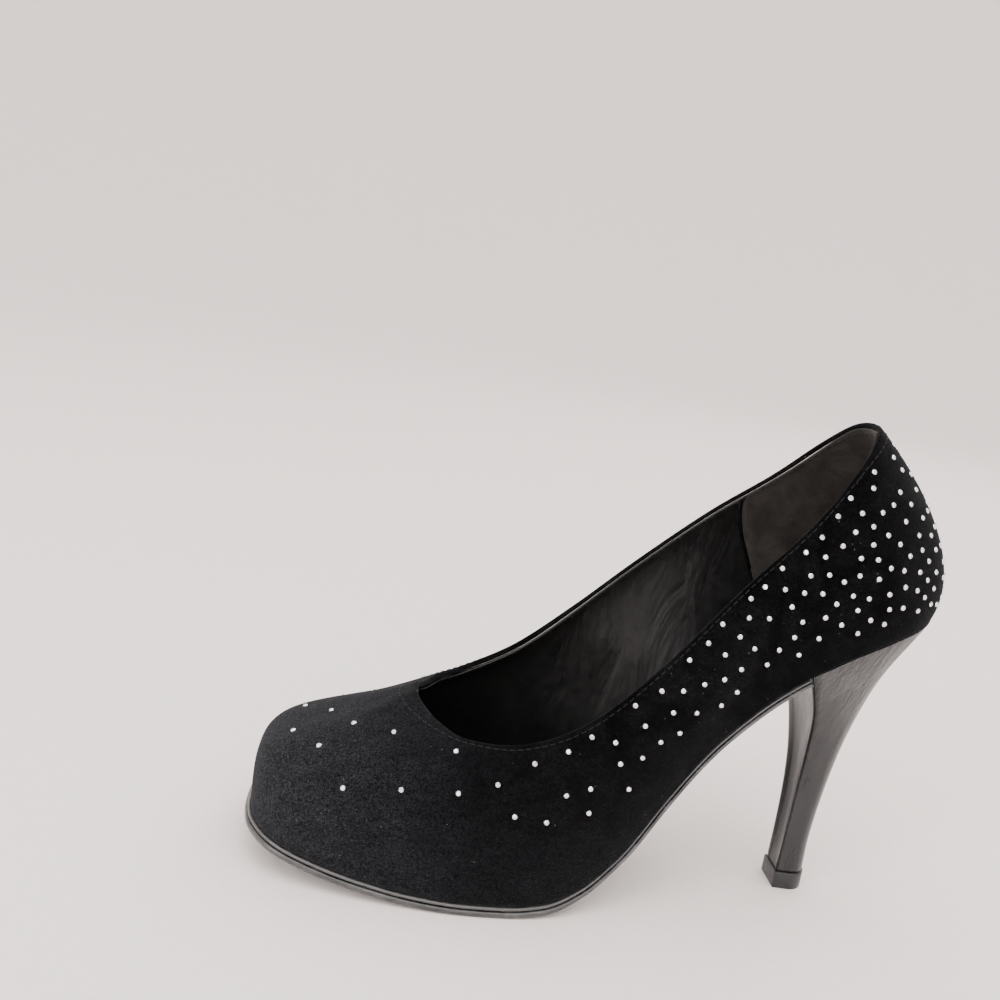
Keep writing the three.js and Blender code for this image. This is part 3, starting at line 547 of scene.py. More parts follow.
def woven(name, dark, light, thread):
    """Cloth or tape: two sets of ribs at right angles."""
    material = new_finish(name, Roughness=0.85)
    nodes, links = material.node_tree.nodes, material.node_tree.links
    ribs = []
    for direction in ("X", "Z"):
        wave = nodes.new("ShaderNodeTexWave")
        wave.bands_direction = direction
        wave.inputs["Scale"].default_value = 0.31 / thread
        wave.inputs["Distortion"].default_value = 0.4
        links.new(pattern_space(material), wave.inputs["Vector"])
        ribs.append(wave.outputs["Fac"])
    weave = maths(material, "MULTIPLY", *ribs)
    vary(material, "Base Color", weave, (0.05, dark), (0.6, light))
    relief(material, (weave, 0.6, 0.15))
    return material


cork_foam = grained("platform_cork", (0.33, 0.2, 0.1), (0.66, 0.47, 0.28), 1.6, (0.8, 1.0), 0.4)
cork = grained("cork_sheet", (0.2, 0.11, 0.05), (0.5, 0.32, 0.17), 1.1, (0.85, 1.0), 0.3)
latex = grained("latex_foam", (0.6, 0.5, 0.34), (0.82, 0.74, 0.58), 0.5, (0.85, 1.0), 0.25)
board = grained("fibreboard", (0.2, 0.13, 0.075), (0.42, 0.3, 0.19), 0.8, (0.7, 0.95), 0.12,
                (0.25, 1, 1))
plastic = grained("heel_plastic", (0.66, 0.63, 0.57), (0.8, 0.78, 0.73), 9, (0.35, 0.5), 0.15)
steel = grained("brushed_steel", (0.42, 0.43, 0.45), (0.66, 0.67, 0.69), 0.5, (0.22, 0.42), 0.03,
                (0.08, 1, 1), Metallic=1.0)
stiffener = woven("stiffener_cloth", (0.5, 0.47, 0.4), (0.78, 0.74, 0.66), 0.5)
nylon_tape = woven("nylon_tape", (0.55, 0.53, 0.48), (0.86, 0.84, 0.79), 0.35)
STEEL_PARTS = ["steel_shank", "shank_rivet_1", "shank_rivet_2", "heel_tube", "top_lift_pin",
               "heel_washer", "heel_screw"] + [f"heel_nail_{n}" for n in range(1, 6)]
HIDDEN_PARTS = (
    (cork_foam, ["platform"]), (cork, ["bottom_filler"]), (latex, ["sock_foam"]),
    (board, ["shank_board", "insole_board"]), (plastic, ["heel_core"]),
    (stiffener, ["heel_counter", "toe_puff"]), (nylon_tape, ["topline_tape", "back_seam_tape"]),
    (steel, STEEL_PARTS))
for material, names in HIDDEN_PARTS:
    for name in names:
        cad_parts[name].data.materials.clear()
        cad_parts[name].data.materials.append(material)
print("hidden parts finished:", sum(len(names) for _, names in HIDDEN_PARTS))

# %% [markdown]
# ## The upper
# One piece of suede is pulled round the last, closed with a seam up the back, turned in under the
# boards at the bottom and folded over at the topline. The section of each station is drawn as one
# closed line, outside, over the fold and down the inside, and the sections are joined round the
# shoe. The seam is a real groove, and the nap's softness is left to the material.

# %% Upper with its folded topline and back seam
UPPER_THICKNESS = 1.0
FOLD_DEPTH = 1.95
SEAM_HALF_WIDTH = 0.05
SEAM_DEPTH = 0.45
around_stations = stations((0, 0.16, 9), (0.16, 3, 30), (3, 8, 66), (8, TOE, 72))
around_stations = np.concatenate([around_stations, AROUND - around_stations[1:-1][::-1]])
rows = np.concatenate([np.linspace(0, 0.1, 7), np.linspace(0.1, 0.9, 34)[1:],
                       np.linspace(0.9, 1, 9)[1:]])


def seam_groove(s):
    """How far the back seam draws the suede in at station s."""
    from_seam = np.minimum(s, AROUND - s)
    return SEAM_DEPTH * np.exp(-((from_seam / SEAM_HALF_WIDTH) ** 2))


def upper_sections(s):
    """The closed section line of every station s, as one array of points."""
    s = s[:, None]
    groove = seam_groove(s)
    margin = np.minimum(11.0, 0.6 * np.abs(foot_at(s)[..., 1]) + 7)
    outside = on_last(s, rows, groove * np.clip(rows * 12, 0, 1))
    turn = np.linspace(0, np.pi, 9)[1:-1]
    across = FOLD_DEPTH / 2 * (1 - np.cos(turn))
    rib_up = on_last(s, 1.0) - on_last(s, 0.985)
    rib_up /= np.linalg.norm(rib_up, axis=-1, keepdims=True)
    fold = on_last(s, 1.0 + 0 * turn, across + groove * (1 - across / FOLD_DEPTH))
    fold = fold + rib_up * 0.65 * np.sin(turn)[:, None]
    lip = on_last(s, np.array([1.0, 0.992, 0.989]),
                  np.array([FOLD_DEPTH, FOLD_DEPTH, UPPER_THICKNESS]))
    floor = level_on(s, UPPER_THICKNESS, UPPER_THICKNESS) + 0.01
    inside = on_last(s, 0.97 + (floor - 0.97) * np.linspace(0, 1, 14), UPPER_THICKNESS)
    under = on_sole(s, margin * [-1, -1, -0.5], np.array([UPPER_THICKNESS, 0, 0]))
    return np.concatenate([outside, fold, lip, inside, under], axis=1)


upper = loft("upper_suede", upper_sections(around_stations), close_rows=True)
finish_piece(upper, suede, "upper_suede", "upper")

# %% [markdown]
# ## The linings
# A suede piece holds the heel and a smooth leather piece lines the front; they meet in a seam on
# each side that leans forward. Lining leather is never as smooth as the upper: the fold lines that
# walking leaves are part of the shape, so a few soft waves are added to the points.

# %% Heel lining and forward lining
LINING_INSET, LINING_THICKNESS = 2.3, 0.8
SEAM_TOP, SEAM_FOOT = 3.45, 3.85  # stations of the side seams at the topline and at the foot
GAP = 0.3  # left for glue between two layers
LAYERS_START = 1.3
PLATFORM, PLATFORM_START, PLATFORM_FULL = 8.0, 84.0, 126.0
BOARDS = 3.2  # two boards and the glue above each
FOLDS_AT, FOLDS_REACH, FOLDS_DEPTH = 6.6, 1.5, 0.45


def ramp_top(x):
    """Height of the platform's top above the sole line."""
    return LAYERS_START + (PLATFORM + GAP) * ease(x, PLATFORM_START, PLATFORM_FULL)


def lining_foot(x):
    return ramp_top(x) + BOARDS


def seam_station(v):
    return SEAM_FOOT + (SEAM_TOP - SEAM_FOOT) * v


def soft_folds(s, v):
    """Waves that walking leaves in the forward lining, strongest beside the ball."""
    from_ball = (np.minimum(s, AROUND - s) - FOLDS_AT) / FOLDS_REACH
    beside_ball = np.exp(-from_ball ** 2) * np.sin(np.pi * v) ** 1.5
    return FOLDS_DEPTH * beside_ball * np.sin(5.2 * s + 6.0 * v + 0.8 * np.sin(3 * s))


def lining(name, starts, ends, share_count, folds):
    """A lining from one seam line to the other: starts(v) and ends(v) are stations."""
    share = np.linspace(0, 1, share_count)[:, None]
    probe = starts(0.3) + (ends(0.3) - starts(0.3)) * share
    low = level_on(probe, LINING_INSET + LINING_THICKNESS, lining_foot)
    v = np.concatenate([low + (0.9 - low) * np.linspace(0, 1, 26),
                        0 * low + np.linspace(0.9, 0.994, 7)[1:]], axis=1)
    s = starts(v) + (ends(v) - starts(v)) * share
    wave = soft_folds(np.mod(s, AROUND), v) * (v < 0.97) if folds else 0 * v
    outer = on_last(s, v, LINING_INSET)
    inner = on_last(s, v, LINING_INSET + LINING_THICKNESS + np.maximum(wave, -0.3))
    rim = on_last(s[:, -1:], np.array([1.0, 1.002, 1.0]), LINING_INSET + np.array([0.2, 0.4, 0.6]))
    return loft(name, np.concatenate([outer, rim, inner[:, ::-1]], axis=1))


heel_lining = lining("heel_lining_suede", lambda v: -seam_station(v), seam_station, 81, False)
finish_piece(heel_lining, lining_suede, "lining_suede", "heel_lining")
vamp_lining = lining("vamp_lining_leather", lambda v: seam_station(v) + 0.015,
                     lambda v: AROUND - 0.015 - seam_station(v), 241, True)
finish_piece(vamp_lining, lining_leather, "lining_leather", "vamp_lining")

# %% [markdown]
# ## Sock, midsole and outsole
# Each follows the sole line. A flat outline bent by a modifier would stretch at the ball, so the
# sections are placed square to the line instead, and the edge of each layer is given its own
# rounded profile: that bright rounded edge is what one sees of a sole.

# %% Layers along the sole line
def layer(name, span, edge_point, bottom, top, edge_profile):
    """A layer through cross sections: pairs of stations, one on each side of the shoe.

    edge_profile lists (how far out, share of the thickness) from the bottom to the top."""
    out, share = np.array(edge_profile, float).T
    left, right = [edge_point(s, out, share) for s in (span[:, None], AROUND - span[:, None])]
    across = np.linspace(0, 1, 11)[1:-1, None]
    upper_side = left[:, -1:] + (right[:, -1:] - left[:, -1:]) * across
    lower_side = right[:, :1] + (left[:, :1] - right[:, :1]) * across
    for side, height in ((upper_side, top), (lower_side, bottom)):
        x, _ = above_sole(side)
        z, normal = sole_line(x)
        side[:] = np.stack([x, side[..., 1], z], -1) + normal * height(x)[..., None]
    return loft(name, np.concatenate([left, upper_side, right[:, ::-1], lower_side], axis=1))


MIDSOLE, OUTSOLE = (0.7, 1.2), (1.1, 2.0)  # thickness at the waist and at the forepart
MIDSOLE_EDGE, OUTSOLE_EDGE = 0.7, 1.1  # how far each stands out past the upper
FOREPART = (96, 122)


def thickness(x, waist, forepart):
    return waist + (forepart - waist) * ease(x, *FOREPART)


def midsole_top(x):
    return x * 0 - GAP


def midsole_bottom(x):
    return midsole_top(x) - thickness(x, *MIDSOLE)


def outsole_top(x):
    return midsole_bottom(x) - GAP


def outsole_bottom(x):
    return outsole_top(x) - thickness(x, *OUTSOLE)


def sole_edge_point(edge, low, high):
    """Points of a sole's edge, standing edge past the foot of the upper."""
    def point(s, out, share):
        x = foot_at(s)[..., 0]
        return on_sole(s, edge + out, low(x) + (high(x) - low(x)) * share)
    return point


HEEL_BREAST_X = 42.0
breast_low, breast_high = 0.0, float(TOE)
for _ in range(40):
    breast_station = (breast_low + breast_high) / 2
    if foot_at(np.array(breast_station))[0] < HEEL_BREAST_X:
        breast_low = breast_station
    else:
        breast_high = breast_station
sole_span = stations((breast_station + 0.055, 8, 90), (8, 12, 34), (12, TOE - 0.02, 40))
rounded_edge = [(-2.5, 0), (-0.7, 0), (-0.25, 0.1), (-0.04, 0.3), (0, 0.55), (-0.06, 0.8),
                (-0.28, 0.97), (-0.8, 1)]
outsole = layer("outsole_waxed", sole_span,
                sole_edge_point(OUTSOLE_EDGE, outsole_bottom, outsole_top),
                outsole_bottom, outsole_top, rounded_edge)
finish_piece(outsole, sole_edge, "outsole_edge", "outsole")
midsole = layer("midsole_edge", sole_span,
                sole_edge_point(MIDSOLE_EDGE, midsole_bottom, midsole_top),
                midsole_bottom, midsole_top, rounded_edge)
finish_piece(midsole, sole_board, "sole_leather", "midsole")

# %% Sock, curling up a little where it meets the lining
SOCK_INSET = LINING_INSET + LINING_THICKNESS + 0.25
FOAM, SOCK = 2.0, 0.8
SOCK_BOTTOM = BOARDS + GAP + FOAM + GAP
SOCK_CURL = 0.5
DENT_AT, DENT_REACH, DENT_DEPTH = 140, 26, 0.35  # where the ball of the foot has pressed


def sock_top(x):
    return ramp_top(x) + SOCK_BOTTOM + SOCK


def sock_sections(s):
    """Sections of the sock across the shoe, top from left to right and back below."""
    left, right = [
        on_last(side, level_on(side, SOCK_INSET, lambda x: sock_top(x) + SOCK_CURL), SOCK_INSET)
        for side in (s[:, None], AROUND - s[:, None])]
    share = np.concatenate([[0, 0.015, 0.04], np.linspace(0.08, 0.92, 19), [0.96, 0.985, 1]])
    top = left + (right - left) * share[:, None]
    x, _ = above_sole(top)
    z, normal = sole_line(x)
    from_edge = np.minimum(share, 1 - share) * np.linalg.norm(right - left, axis=-1)
    curl = SOCK_CURL * np.exp(-from_edge / 1.2)
    dent = -DENT_DEPTH * np.sin(np.pi * share) * np.exp(-(((x - DENT_AT) / DENT_REACH) ** 2))
    top = np.stack([x, top[..., 1], z], -1) + normal * (sock_top(x) + curl + dent)[..., None]
    return np.concatenate([top, (top - normal * SOCK)[:, ::-1]], axis=1)


sock_span = stations((0.12, 2, 22), (2, 12, 90), (12, TOE - 0.12, 24))
sock = loft("sock_leather_top", sock_sections(sock_span))
finish_piece(sock, sock_leather, "sock_leather", "sock_lining")

# %% [markdown]
# ## The heel
# A plastic block carries the load and is wrapped in thin leather: one piece round the back and
# sides, one on the breast, meeting in a sharp ridge. Its outline is two curves, one down the back
# and one down the breast, and each level between them is a rounded wedge that grows into the
# outline of the heel seat.

# %% The heel's two curves and its sections
TIP_BACK, TIP_LENGTH, TIP_WIDTH = 20.0, 11.0, 11.6
HEEL_BOTTOM = 6.5
SEAT_GAP = 0.4
BREAST_HOLLOW = 1.6
BACK_CURVE = np.array([[TIP_BACK, HEEL_BOTTOM], [20.2, 20], [18.6, 40], [15.2, 62], [8.4, 85.5],
                       [-2.7, SEAT_RISE + STAND_HEIGHT - SEAT_GAP]])
BREAST_TOP = float(sole_line(HEEL_BREAST_X)[0]) - SEAT_GAP
BREAST_CURVE = np.array([[TIP_BACK + TIP_LENGTH, HEEL_BOTTOM], [30.8, 20], [30.9, 38], [31.8, 54],
                         [34.4, 70], [HEEL_BREAST_X, BREAST_TOP]])
ROUND_SHARE = 0.55  # how much of each side belongs to the round back
HALF_WIDTHS = np.array([[0, TIP_WIDTH / 2], [0.2, 6.1], [0.42, 7.4], [0.64, 10.8],
                        [0.84, 16.6], [1, 25]])


def spine(points, t):
    """A point on a smooth curve through points, spaced by the root of their distances."""
    padded = np.vstack([2 * points[0] - points[1], points, 2 * points[-1] - points[-2]])
    u = np.asarray(t, float) * (len(points) - 1)
    i = np.clip(np.floor(u).astype(int), 0, len(points) - 2)
    f = (u - i)[..., None]
    p0, p1, p2, p3 = [padded[i + d] for d in range(4)]
    d0, d1, d2 = [np.sqrt(np.linalg.norm(b - a, axis=-1))[..., None]
                  for a, b in ((p0, p1), (p1, p2), (p2, p3))]
    m1 = ((p1 - p0) / d0 - (p2 - p0) / (d0 + d1) + (p2 - p1) / d1) * d1
    m2 = ((p2 - p1) / d1 - (p3 - p1) / (d1 + d2) + (p3 - p2) / d2) * d1
    flat = (p1 + m1 * f + (3 * (p2 - p1) - 2 * m1 - m2) * f**2 + (2 * (p1 - p2) + m1 + m2) * f**3)
    return np.stack([flat[..., 0], 0 * flat[..., 0], flat[..., 1]], -1)


def on_heel(t, q, side, inset=0.0):
    """t from tip to seat, q from the back to the ridge of the breast, side 1 or -1."""
    t, q, side, inset = np.broadcast_arrays(*[np.asarray(a, float) for a in (t, q, side, inset)])
    back, front = spine(BACK_CURVE, t), spine(BREAST_CURVE, t)
    chord = front - back
    length = np.linalg.norm(chord, axis=-1)
    chord = chord / length[..., None]
    seat_s = np.where(side > 0, q * breast_station, AROUND - q * breast_station)
    seat = on_sole(seat_s, -inset, -SEAT_GAP)
    seat_back = on_sole(0 * t, -inset, -SEAT_GAP)
    seat_span = on_sole(0 * t + breast_station, -inset, -SEAT_GAP)[..., 0] - seat_back[..., 0]
    half = curve_at(HALF_WIDTHS, t)[0]
    round_part = np.minimum(1, q / ROUND_SHARE)
    flat_part = np.clip((q - ROUND_SHARE) / (1 - ROUND_SHARE), 0, 1)
    tip_share = 0.5 * (1 - np.cos(round_part * np.pi / 2))
    tip_share = tip_share + (1 - tip_share) * flat_part
    tip_side = np.sin(round_part * np.pi / 2) * (1 - 0.05 * flat_part)
    seat_share = (seat[..., 0] - seat_back[..., 0]) / seat_span
    seat_side = np.abs(seat[..., 1]) / (foot_at(np.array(breast_station))[1] * 1.01)
    mixed = ease(t, 0.25, 1)
    share = tip_share + (seat_share - tip_share) * mixed
    width = tip_side + (seat_side - tip_side) * mixed
    point = back + chord * (inset + share * (length - 2 * inset))[..., None]
    point[..., 1] = side * width * (half - inset)
    near = ease(t, 0.86, 1)[..., None]
    return point + (seat - point) * near


def on_breast(t, r, inset=0.0, side_inset=0.0):
    """A point across the breast, r from -1 to 1 between its ridges."""
    t, r, inset = np.broadcast_arrays(*[np.asarray(a, float) for a in (t, r, inset)])
    edge, far = on_heel(t, 1.0, 1.0, side_inset), on_heel(t, 1.0, -1.0, side_inset)
    back_way = spine(BACK_CURVE, t) - spine(BREAST_CURVE, t)
    back_way /= np.linalg.norm(back_way, axis=-1, keepdims=True)
    hollow = BREAST_HOLLOW * 4 * t * (1 - t) * (1 - r * r)
    point = far + (edge - far) * ((r + 1) / 2)[..., None]
    point = point + back_way * (inset - side_inset + hollow)[..., None]
    x, h = above_sole(point)
    _, normal = sole_line(x)
    return point + normal * np.where(h > -SEAT_GAP, -SEAT_GAP - h, 0)[..., None]


print("heel at the breast:", round(BREAST_TOP - HEEL_BOTTOM, 1), "mm above its lift")

# %% Leather round the heel and over its breast
COVER = 0.7
heel_levels = np.concatenate([[0, 0.004], np.linspace(0.012, 0.86, 74),
                              np.linspace(0.86, 0.995, 22)[1:], [1]])
round_back = np.concatenate([-np.linspace(1, 0, 33), np.linspace(0, 1, 33)[1:]])


def seat_folds(t, across):
    """Small folds where the leather is drawn in under the seat."""
    near_seat = np.clip((t - 0.72) / 0.2, 0, 1) * np.clip((1 - t) / 0.03, 0, 1)
    return 0.22 * near_seat * (np.sin(37 * across + 16 * t) * np.sin(61 * across - 9 * t + 1) - 0.4)


def cover_levels(t):
    t = t[:, None]
    q, side = np.abs(round_back), np.where(round_back < 0, -1.0, 1.0)
    ridge = np.clip((q - 0.965) / 0.035, 0, 1) ** 2 * 0.22
    tuck = 0.25 * np.exp(-t / 0.004)
    outside = on_heel(t, q, side, ridge + tuck - seat_folds(t, round_back) * (q < 0.96))
    return np.concatenate([outside, on_heel(t, q, side, COVER)[:, ::-1]], axis=1)


heel_cover = loft("heel_cover_leather", cover_levels(heel_levels))
finish_piece(heel_cover, heel_leather, "heel_leather", "heel_cover")


def breast_levels(t):
    t = t[:, None]
    r = np.linspace(-1, 1, 29)
    flap = 0.16 * ease(np.abs(r), 0.72, 0.76)
    front = on_breast(t, r, 0.18 - flap, COVER + 0.3)
    return np.concatenate([front, on_breast(t, r[::-1], COVER + 0.1, COVER + 0.3)], axis=1)


heel_breast = loft("heel_breast_leather", breast_levels(heel_levels))
finish_piece(heel_breast, heel_leather, "heel_leather", "heel_breast_cover")

# %% Top lift: a hard block with a bevelled edge
LIFT_HEIGHT, LIFT_FLARE = 6.2, 0.5
LIFT_PROFILE = [(-0.35, 0.0), (-0.1, 0.06), (0.0, 0.25), (0.0, LIFT_HEIGHT - 0.3),
                (-0.08, LIFT_HEIGHT - 0.08), (-0.3, LIFT_HEIGHT)]


def lift_ring(flare, height):
    quarter = np.linspace(0, 1, 25)
    flat = np.linspace(1, -1, 13)[1:-1]
    ring = np.concatenate([on_heel(0.0, quarter, 1.0, -flare), on_breast(0.0, flat, -flare, -flare),
                           on_heel(0.0, quarter[::-1], -1.0, -flare)[:-1]])
    ring[:, 2] = height
    return ring


lift_rings = np.array([lift_ring(LIFT_FLARE + out, z) for out, z in LIFT_PROFILE])
top_lift = loft("top_lift_block", lift_rings)
finish_piece(top_lift, lift_rubber, "lift_rubber", "top_lift")

# %% [markdown]
# ## Stitches
# A line of stitches holds the fold of the topline. Each stitch is a short swelling of thread that
# dips into the leather at both ends. A texture could paint them, but real geometry catches light
# and casts the small shadows that make a seam readable.

# %% Thread
thread = new_finish("black_thread", Roughness=0.7, Specular_IOR_Level=0.2, Sheen_Weight=0.05)
twist = noise(thread, 0.12, 2, 0.5, pattern_space(thread, (1, 1, 0.4), (30, 20, 0)))
vary(thread, "Base Color", twist, (0.3, (0.002, 0.002, 0.0025)), (0.7, (0.006, 0.006, 0.007)))
relief(thread, (twist, 0.5, 0.05))


def stitched(name, line, outward, length=2.1, spacing=2.6, radius=0.2):
    """Stitches along line(n) points, raised towards outward(n); both are arrays of equal length."""
    steps = np.linalg.norm(np.diff(line, axis=0), axis=1)
    at = np.concatenate([[0], np.cumsum(steps)])
    count = int(at[-1] // spacing)
    starts = np.arange(count) * at[-1] / count
    points, faces = [], []
    for start in starts:
        t = np.linspace(0, 1, 6)
        where = start + t * length
        centre = np.stack([np.interp(where, at, line[:, k]) for k in range(3)], -1)
        out = np.stack([np.interp(where, at, outward[:, k]) for k in range(3)], -1)
        along = (centre[-1] - centre[0]) / np.linalg.norm(centre[-1] - centre[0])
        sideways = np.cross(along, out)
        thick = radius * np.sqrt(np.clip(np.sin(np.pi * (0.08 + 0.84 * t)), 0, 1))
        raised = centre + out * (0.25 * np.sin(np.pi * t) - 0.16)[:, None] * radius * 3
        first = len(points) * 6
        for c, o, w, r in zip(raised, out, sideways, thick):
            points.append([c + r * (np.cos(a) * o + np.sin(a) * w)
                           for a in np.arange(6) * np.pi / 3])
        faces += grid_faces(6, 6, close_columns=True, start=first)
        faces += [tuple(range(first, first + 6)), tuple(range(first + 30, first + 36))]
    return make_piece(name, np.array(points), faces)


def outward_at(s, v, inset=0.0):
    return on_last(s, v, inset - 1) - on_last(s, v, inset)


round_shoe = np.linspace(0.06, AROUND - 0.06, 900)
EDGE_LINE = 1 - 1.7 / 50  # a stitch line just below the fold
topline_stitches = stitched("topline_stitches", on_last(round_shoe, EDGE_LINE, 0.0),
                            outward_at(round_shoe, EDGE_LINE))
finish_piece(topline_stitches, thread, "thread")
inner_face = LINING_INSET + LINING_THICKNESS
lining_stitches = stitched("topline_stitches_inside", on_last(round_shoe, EDGE_LINE, inner_face),
                           -outward_at(round_shoe, EDGE_LINE, inner_face))
finish_piece(lining_stitches, thread, "thread")
for side, name in ((1, "outer"), (-1, "inner")):
    v = np.linspace(0.27, 0.955, 90)
    s = seam_station(v) + 0.07
    s = s if side > 0 else AROUND - s
    row = stitched(f"lining_seam_stitches_{name}", on_last(s, v, inner_face),
                   -outward_at(s, v, inner_face))
    finish_piece(row, thread, "thread")

# %% [markdown]
# ## Crystals
# Small cut stones with silvered backs are fixed to the suede: close together round the heel, then
# ever further apart towards the vamp. A regular array would look machine made, so places are drawn
# at random and kept only when no stone is nearer than the spacing wanted there. The random draws
# start from one fixed number, so the shoe comes out the same each time.

# %% Where the stones go
STONE_RADIUS = 0.92
CLEAR_OF_SEAM = 0.12
SPACING = np.array([[0, 4.7], [2, 4.8], [3.2, 5.2], [4.2, 5.9], [5.4, 7.0], [6.4, 8.0], [7.4, 11.0],
                    [9, 13.0], [11, 13.0], [14, 14.0]])
LOWEST = np.array([[0, 0.12], [2, 0.15], [3.2, 0.2], [4.2, 0.3], [5, 0.36], [6, 0.42], [7.2, 0.46],
                   [8.5, 0.46], [10, 0.42], [12, 0.44], [14, 0.46]])
HIGHEST = np.array([[0, 0.93], [6, 0.91], [9, 0.9], [11, 0.84], [14, 0.82]])


def along(points, x):
    return np.interp(x, points[:, 0], points[:, 1])


draw = np.random.default_rng(11)
TRIES = 16000
try_s, try_v = draw.uniform(0, AROUND, TRIES), draw.uniform(0, 1, TRIES)
from_back = np.minimum(try_s, AROUND - try_s)
allowed = ((try_v > along(LOWEST, from_back)) & (try_v < along(HIGHEST, from_back))
           & (from_back > CLEAR_OF_SEAM))
try_s, try_v, from_back = try_s[allowed], try_v[allowed], from_back[allowed]
try_place = on_last(try_s, try_v)
wanted = along(SPACING, from_back)
chosen = []
for n in range(len(try_s)):
    apart = np.linalg.norm(try_place[chosen] - try_place[n], axis=1)
    if np.all(apart > np.minimum(wanted[chosen], wanted[n])):
        chosen.append(n)
stones = [(try_s[n], try_v[n]) for n in chosen]
behind_waist = sum(min(s, AROUND - s) < 5 for s, _ in stones)
print("stones:", len(stones), "of which behind the waist:", behind_waist)

# %% A stone's cut, and its silvered glass
crystal = new_finish("cut_crystal", Metallic=1.0, IOR=1.55, Coat_Weight=1.0, Coat_Roughness=0.02)
foil = noise(crystal, 1.4, 2, 0.5)
vary(crystal, "Base Color", foil, (0.3, (0.72, 0.74, 0.78)), (0.7, (0.95, 0.95, 0.96)))
vary(crystal, "Roughness", noise(crystal, 0.5, 3), (0.3, 0.05), (0.7, 0.2))
FACETS = 8
STONE_TILT = 0.05
CUT = [(1.0, -0.25, 0.0), (1.0, 0.12, 0.0), (0.88, 0.36, 0.5), (0.55, 0.62, 0.0)]


def stone_points(place, outward, along_shoe, turn, size):
    sideways = np.cross(outward, along_shoe)
    points = []
    for radius, height, shift in CUT:
        for k in range(FACETS):
            angle = turn + (k + shift) * 2 * math.pi / FACETS
            flat = math.cos(angle) * along_shoe + math.sin(angle) * sideways
            points.append(place + size * (radius * flat + height * outward))
    return points


def stone_faces(first):
    faces = []
    for level in range(len(CUT) - 1):
        a, b = first + level * FACETS, first + (level + 1) * FACETS
        for k in range(FACETS):
            j = (k + 1) % FACETS
            if level == 0:
                faces.append((a + k, a + j, b + j, b + k))
            elif level == 1:
                faces += [(a + k, a + j, b + k), (a + j, b + j, b + k)]
            else:
                faces += [(a + k, a + j, b + j), (a + k, b + j, b + k)]
    top = first + (len(CUT) - 1) * FACETS
    faces.append(tuple(range(top, top + FACETS)))
    faces.append(tuple(range(first + FACETS - 1, first - 1, -1)))
    return faces


def part_of_shoe(s):
    from_back = min(s, AROUND - s)
    if from_back < 2.6:
        return "counter"
    if from_back < 6.8:
        return "quarter_outer" if s < TOE else "quarter_inner"
    return "vamp"


for region in ("counter", "quarter_outer", "quarter_inner", "vamp"):
    points, faces = [], []
    for s, v in stones:
        if part_of_shoe(s) != region:
            continue
        place = on_last(s, v)
        outward = outward_at(s, v)
        along_shoe = on_last(s + 0.02, v) - on_last(s - 0.02, v)
        along_shoe /= np.linalg.norm(along_shoe)
        tilt = outward + draw.normal(0, STONE_TILT) * along_shoe
        tilt = tilt + draw.normal(0, STONE_TILT) * np.cross(outward, along_shoe)
        tilt /= np.linalg.norm(tilt)
        along_shoe = np.cross(np.cross(tilt, along_shoe), tilt)
        along_shoe /= np.linalg.norm(along_shoe)
        faces += stone_faces(len(points))
        points += stone_points(place, tilt, along_shoe, draw.uniform(0, 6.28), STONE_RADIUS)
    piece = make_piece(f"crystals_{region}", np.array(points), faces, smooth=False)
    finish_piece(piece, crystal, "crystal")

# %% [markdown]
# ## Floor, light and camera
# Black objects show only what they reflect, so the light matters more than the colours: a wide
# soft light from above and in front, a fainter one from behind to draw the topline, and pale
# surroundings. The floor curves up far behind, so that no horizon is seen.

# %% Pale studio
paper = new_finish("pale_paper", Roughness=0.9, Specular_IOR_Level=0.2)
fibre = noise(paper, 3.0, 4, 0.6)
vary(paper, "Base Color", fibre, (0.3, (0.87, 0.82, 0.8)), (0.7, (0.91, 0.86, 0.84)))
relief(paper, (fibre, 0.1, 0.2))

FLOOR_HALF, BEND_RADIUS, WALL_HEIGHT, BEND_STEPS, TURNS = 6.0, 4.0, 7.0, 12, 64  # metres


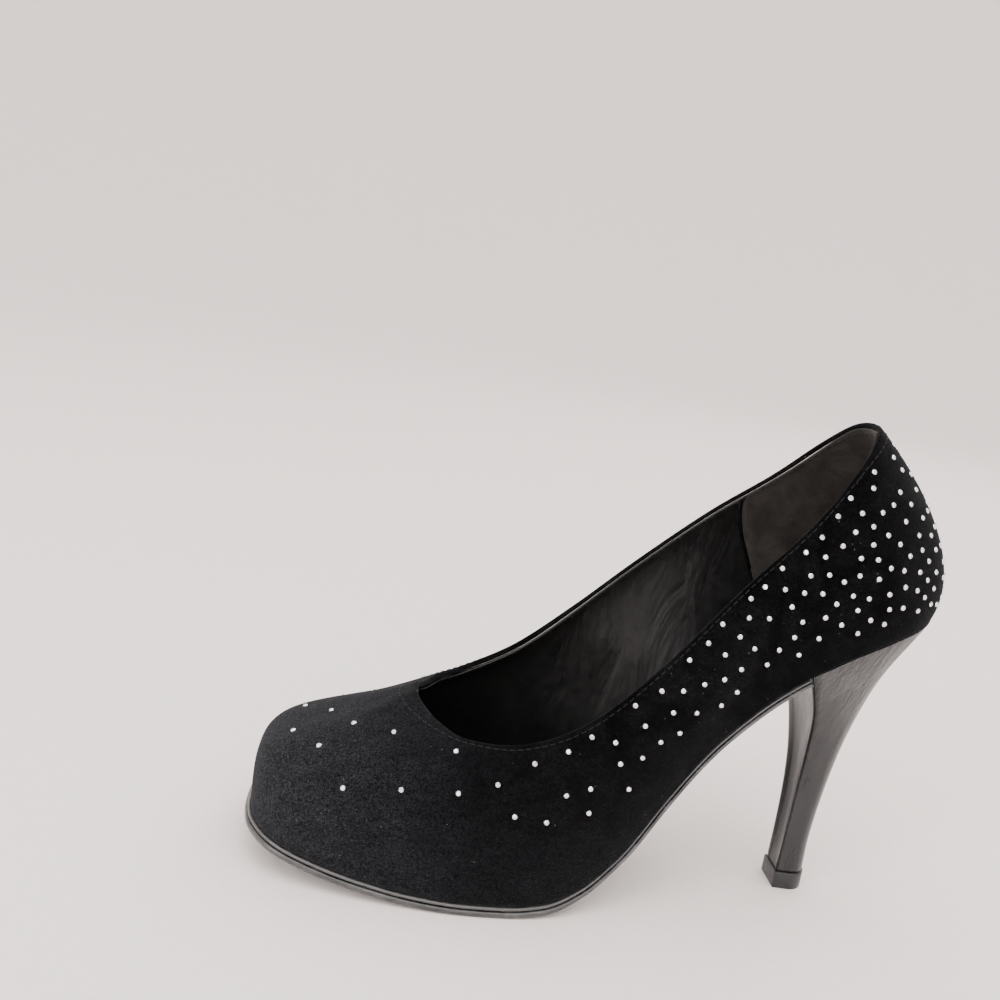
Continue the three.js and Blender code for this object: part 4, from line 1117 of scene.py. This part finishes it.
def backdrop():
    """A round floor whose rim curves up into a wall, far enough out for a camera on any side."""
    profile = [(0.0, 0.0), (1.0, 0.0), (FLOOR_HALF - BEND_RADIUS, 0.0)]
    for k in range(1, BEND_STEPS + 1):
        angle = math.pi / 2 * k / BEND_STEPS
        profile.append((FLOOR_HALF - BEND_RADIUS + BEND_RADIUS * math.sin(angle),
                        BEND_RADIUS * (1 - math.cos(angle))))
    profile.append((FLOOR_HALF, WALL_HEIGHT))
    verts, faces = [], []
    for radius, z in profile:
        for k in range(TURNS):
            angle = 2 * math.pi * k / TURNS
            verts.append((radius * math.cos(angle), radius * math.sin(angle), z))
    faces = grid_faces(len(profile), TURNS, close_columns=True)
    mesh = bpy.data.meshes.new("pale_floor")
    mesh.from_pydata(verts, [], faces)
    mesh.polygons.foreach_set("use_smooth", [True] * len(mesh.polygons))
    floor = bpy.data.objects.new("pale_floor", mesh)
    bpy.context.scene.collection.objects.link(floor)
    floor.data.materials.append(paper)
    return floor


backdrop()


def soft_light(name, place, aim, size, power, colour):
    """A rectangular lamp in metres and watts, turned towards aim."""
    lamp = bpy.data.lights.new(name, "AREA")
    lamp.shape = "RECTANGLE"
    lamp.size, lamp.size_y = size
    lamp.energy = power
    lamp.color = colour
    light = bpy.data.objects.new(name, lamp)
    bpy.context.scene.collection.objects.link(light)
    light.location = place
    light.rotation_euler = (Vector(aim) - Vector(place)).to_track_quat("-Z", "Y").to_euler()


WARM, WHITE = (1, 0.985, 0.97), (1, 1, 1)
for name, place, aim_height, size, power, colour in (
        ("sky", (0.1, 0.5, 1.6), 0.05, (1.6, 1.6), 17, WARM),
        ("window", (1.2, 0.9, 0.7), 0.06, (0.5, 1.0), 8, WHITE),
        ("low_strip", (0.2, 1.3, 0.45), 0.05, (1.6, 0.25), 5, WHITE),
        ("back_fill", (-0.9, -1.1, 1.0), 0.1, (0.8, 0.8), 5, WHITE)):
    soft_light(name, place, (0, 0, aim_height), size, power, colour)
world = bpy.data.worlds.new("pale_room")
world.use_nodes = True
surroundings = world.node_tree.nodes["Background"].inputs
surroundings["Color"].default_value = (1.0, 0.975, 0.96, 1)
surroundings["Strength"].default_value = 2.15
bpy.context.scene.world = world

# %% Camera, from the outer side and a little above

camera_data = bpy.data.cameras.new("camera")
camera_data.lens, camera_data.sensor_width = 37.7, 36.0
camera_data.clip_start = 0.01
camera = bpy.data.objects.new("camera", camera_data)
bpy.context.scene.collection.objects.link(camera)
CAMERA_PLACE = Vector((0.0764, 0.334, 0.1969))
right, up = Vector((-0.986, 0.0713, 0.1509)), Vector((0.1321, -0.2193, 0.9667))
back = right.cross(up)
camera.matrix_world = Matrix((
    *((right[k], up[k], back[k], CAMERA_PLACE[k]) for k in range(3)), (0, 0, 0, 1)))
bpy.context.scene.camera = camera
print("camera looks along", tuple(round(-c, 3) for c in back))
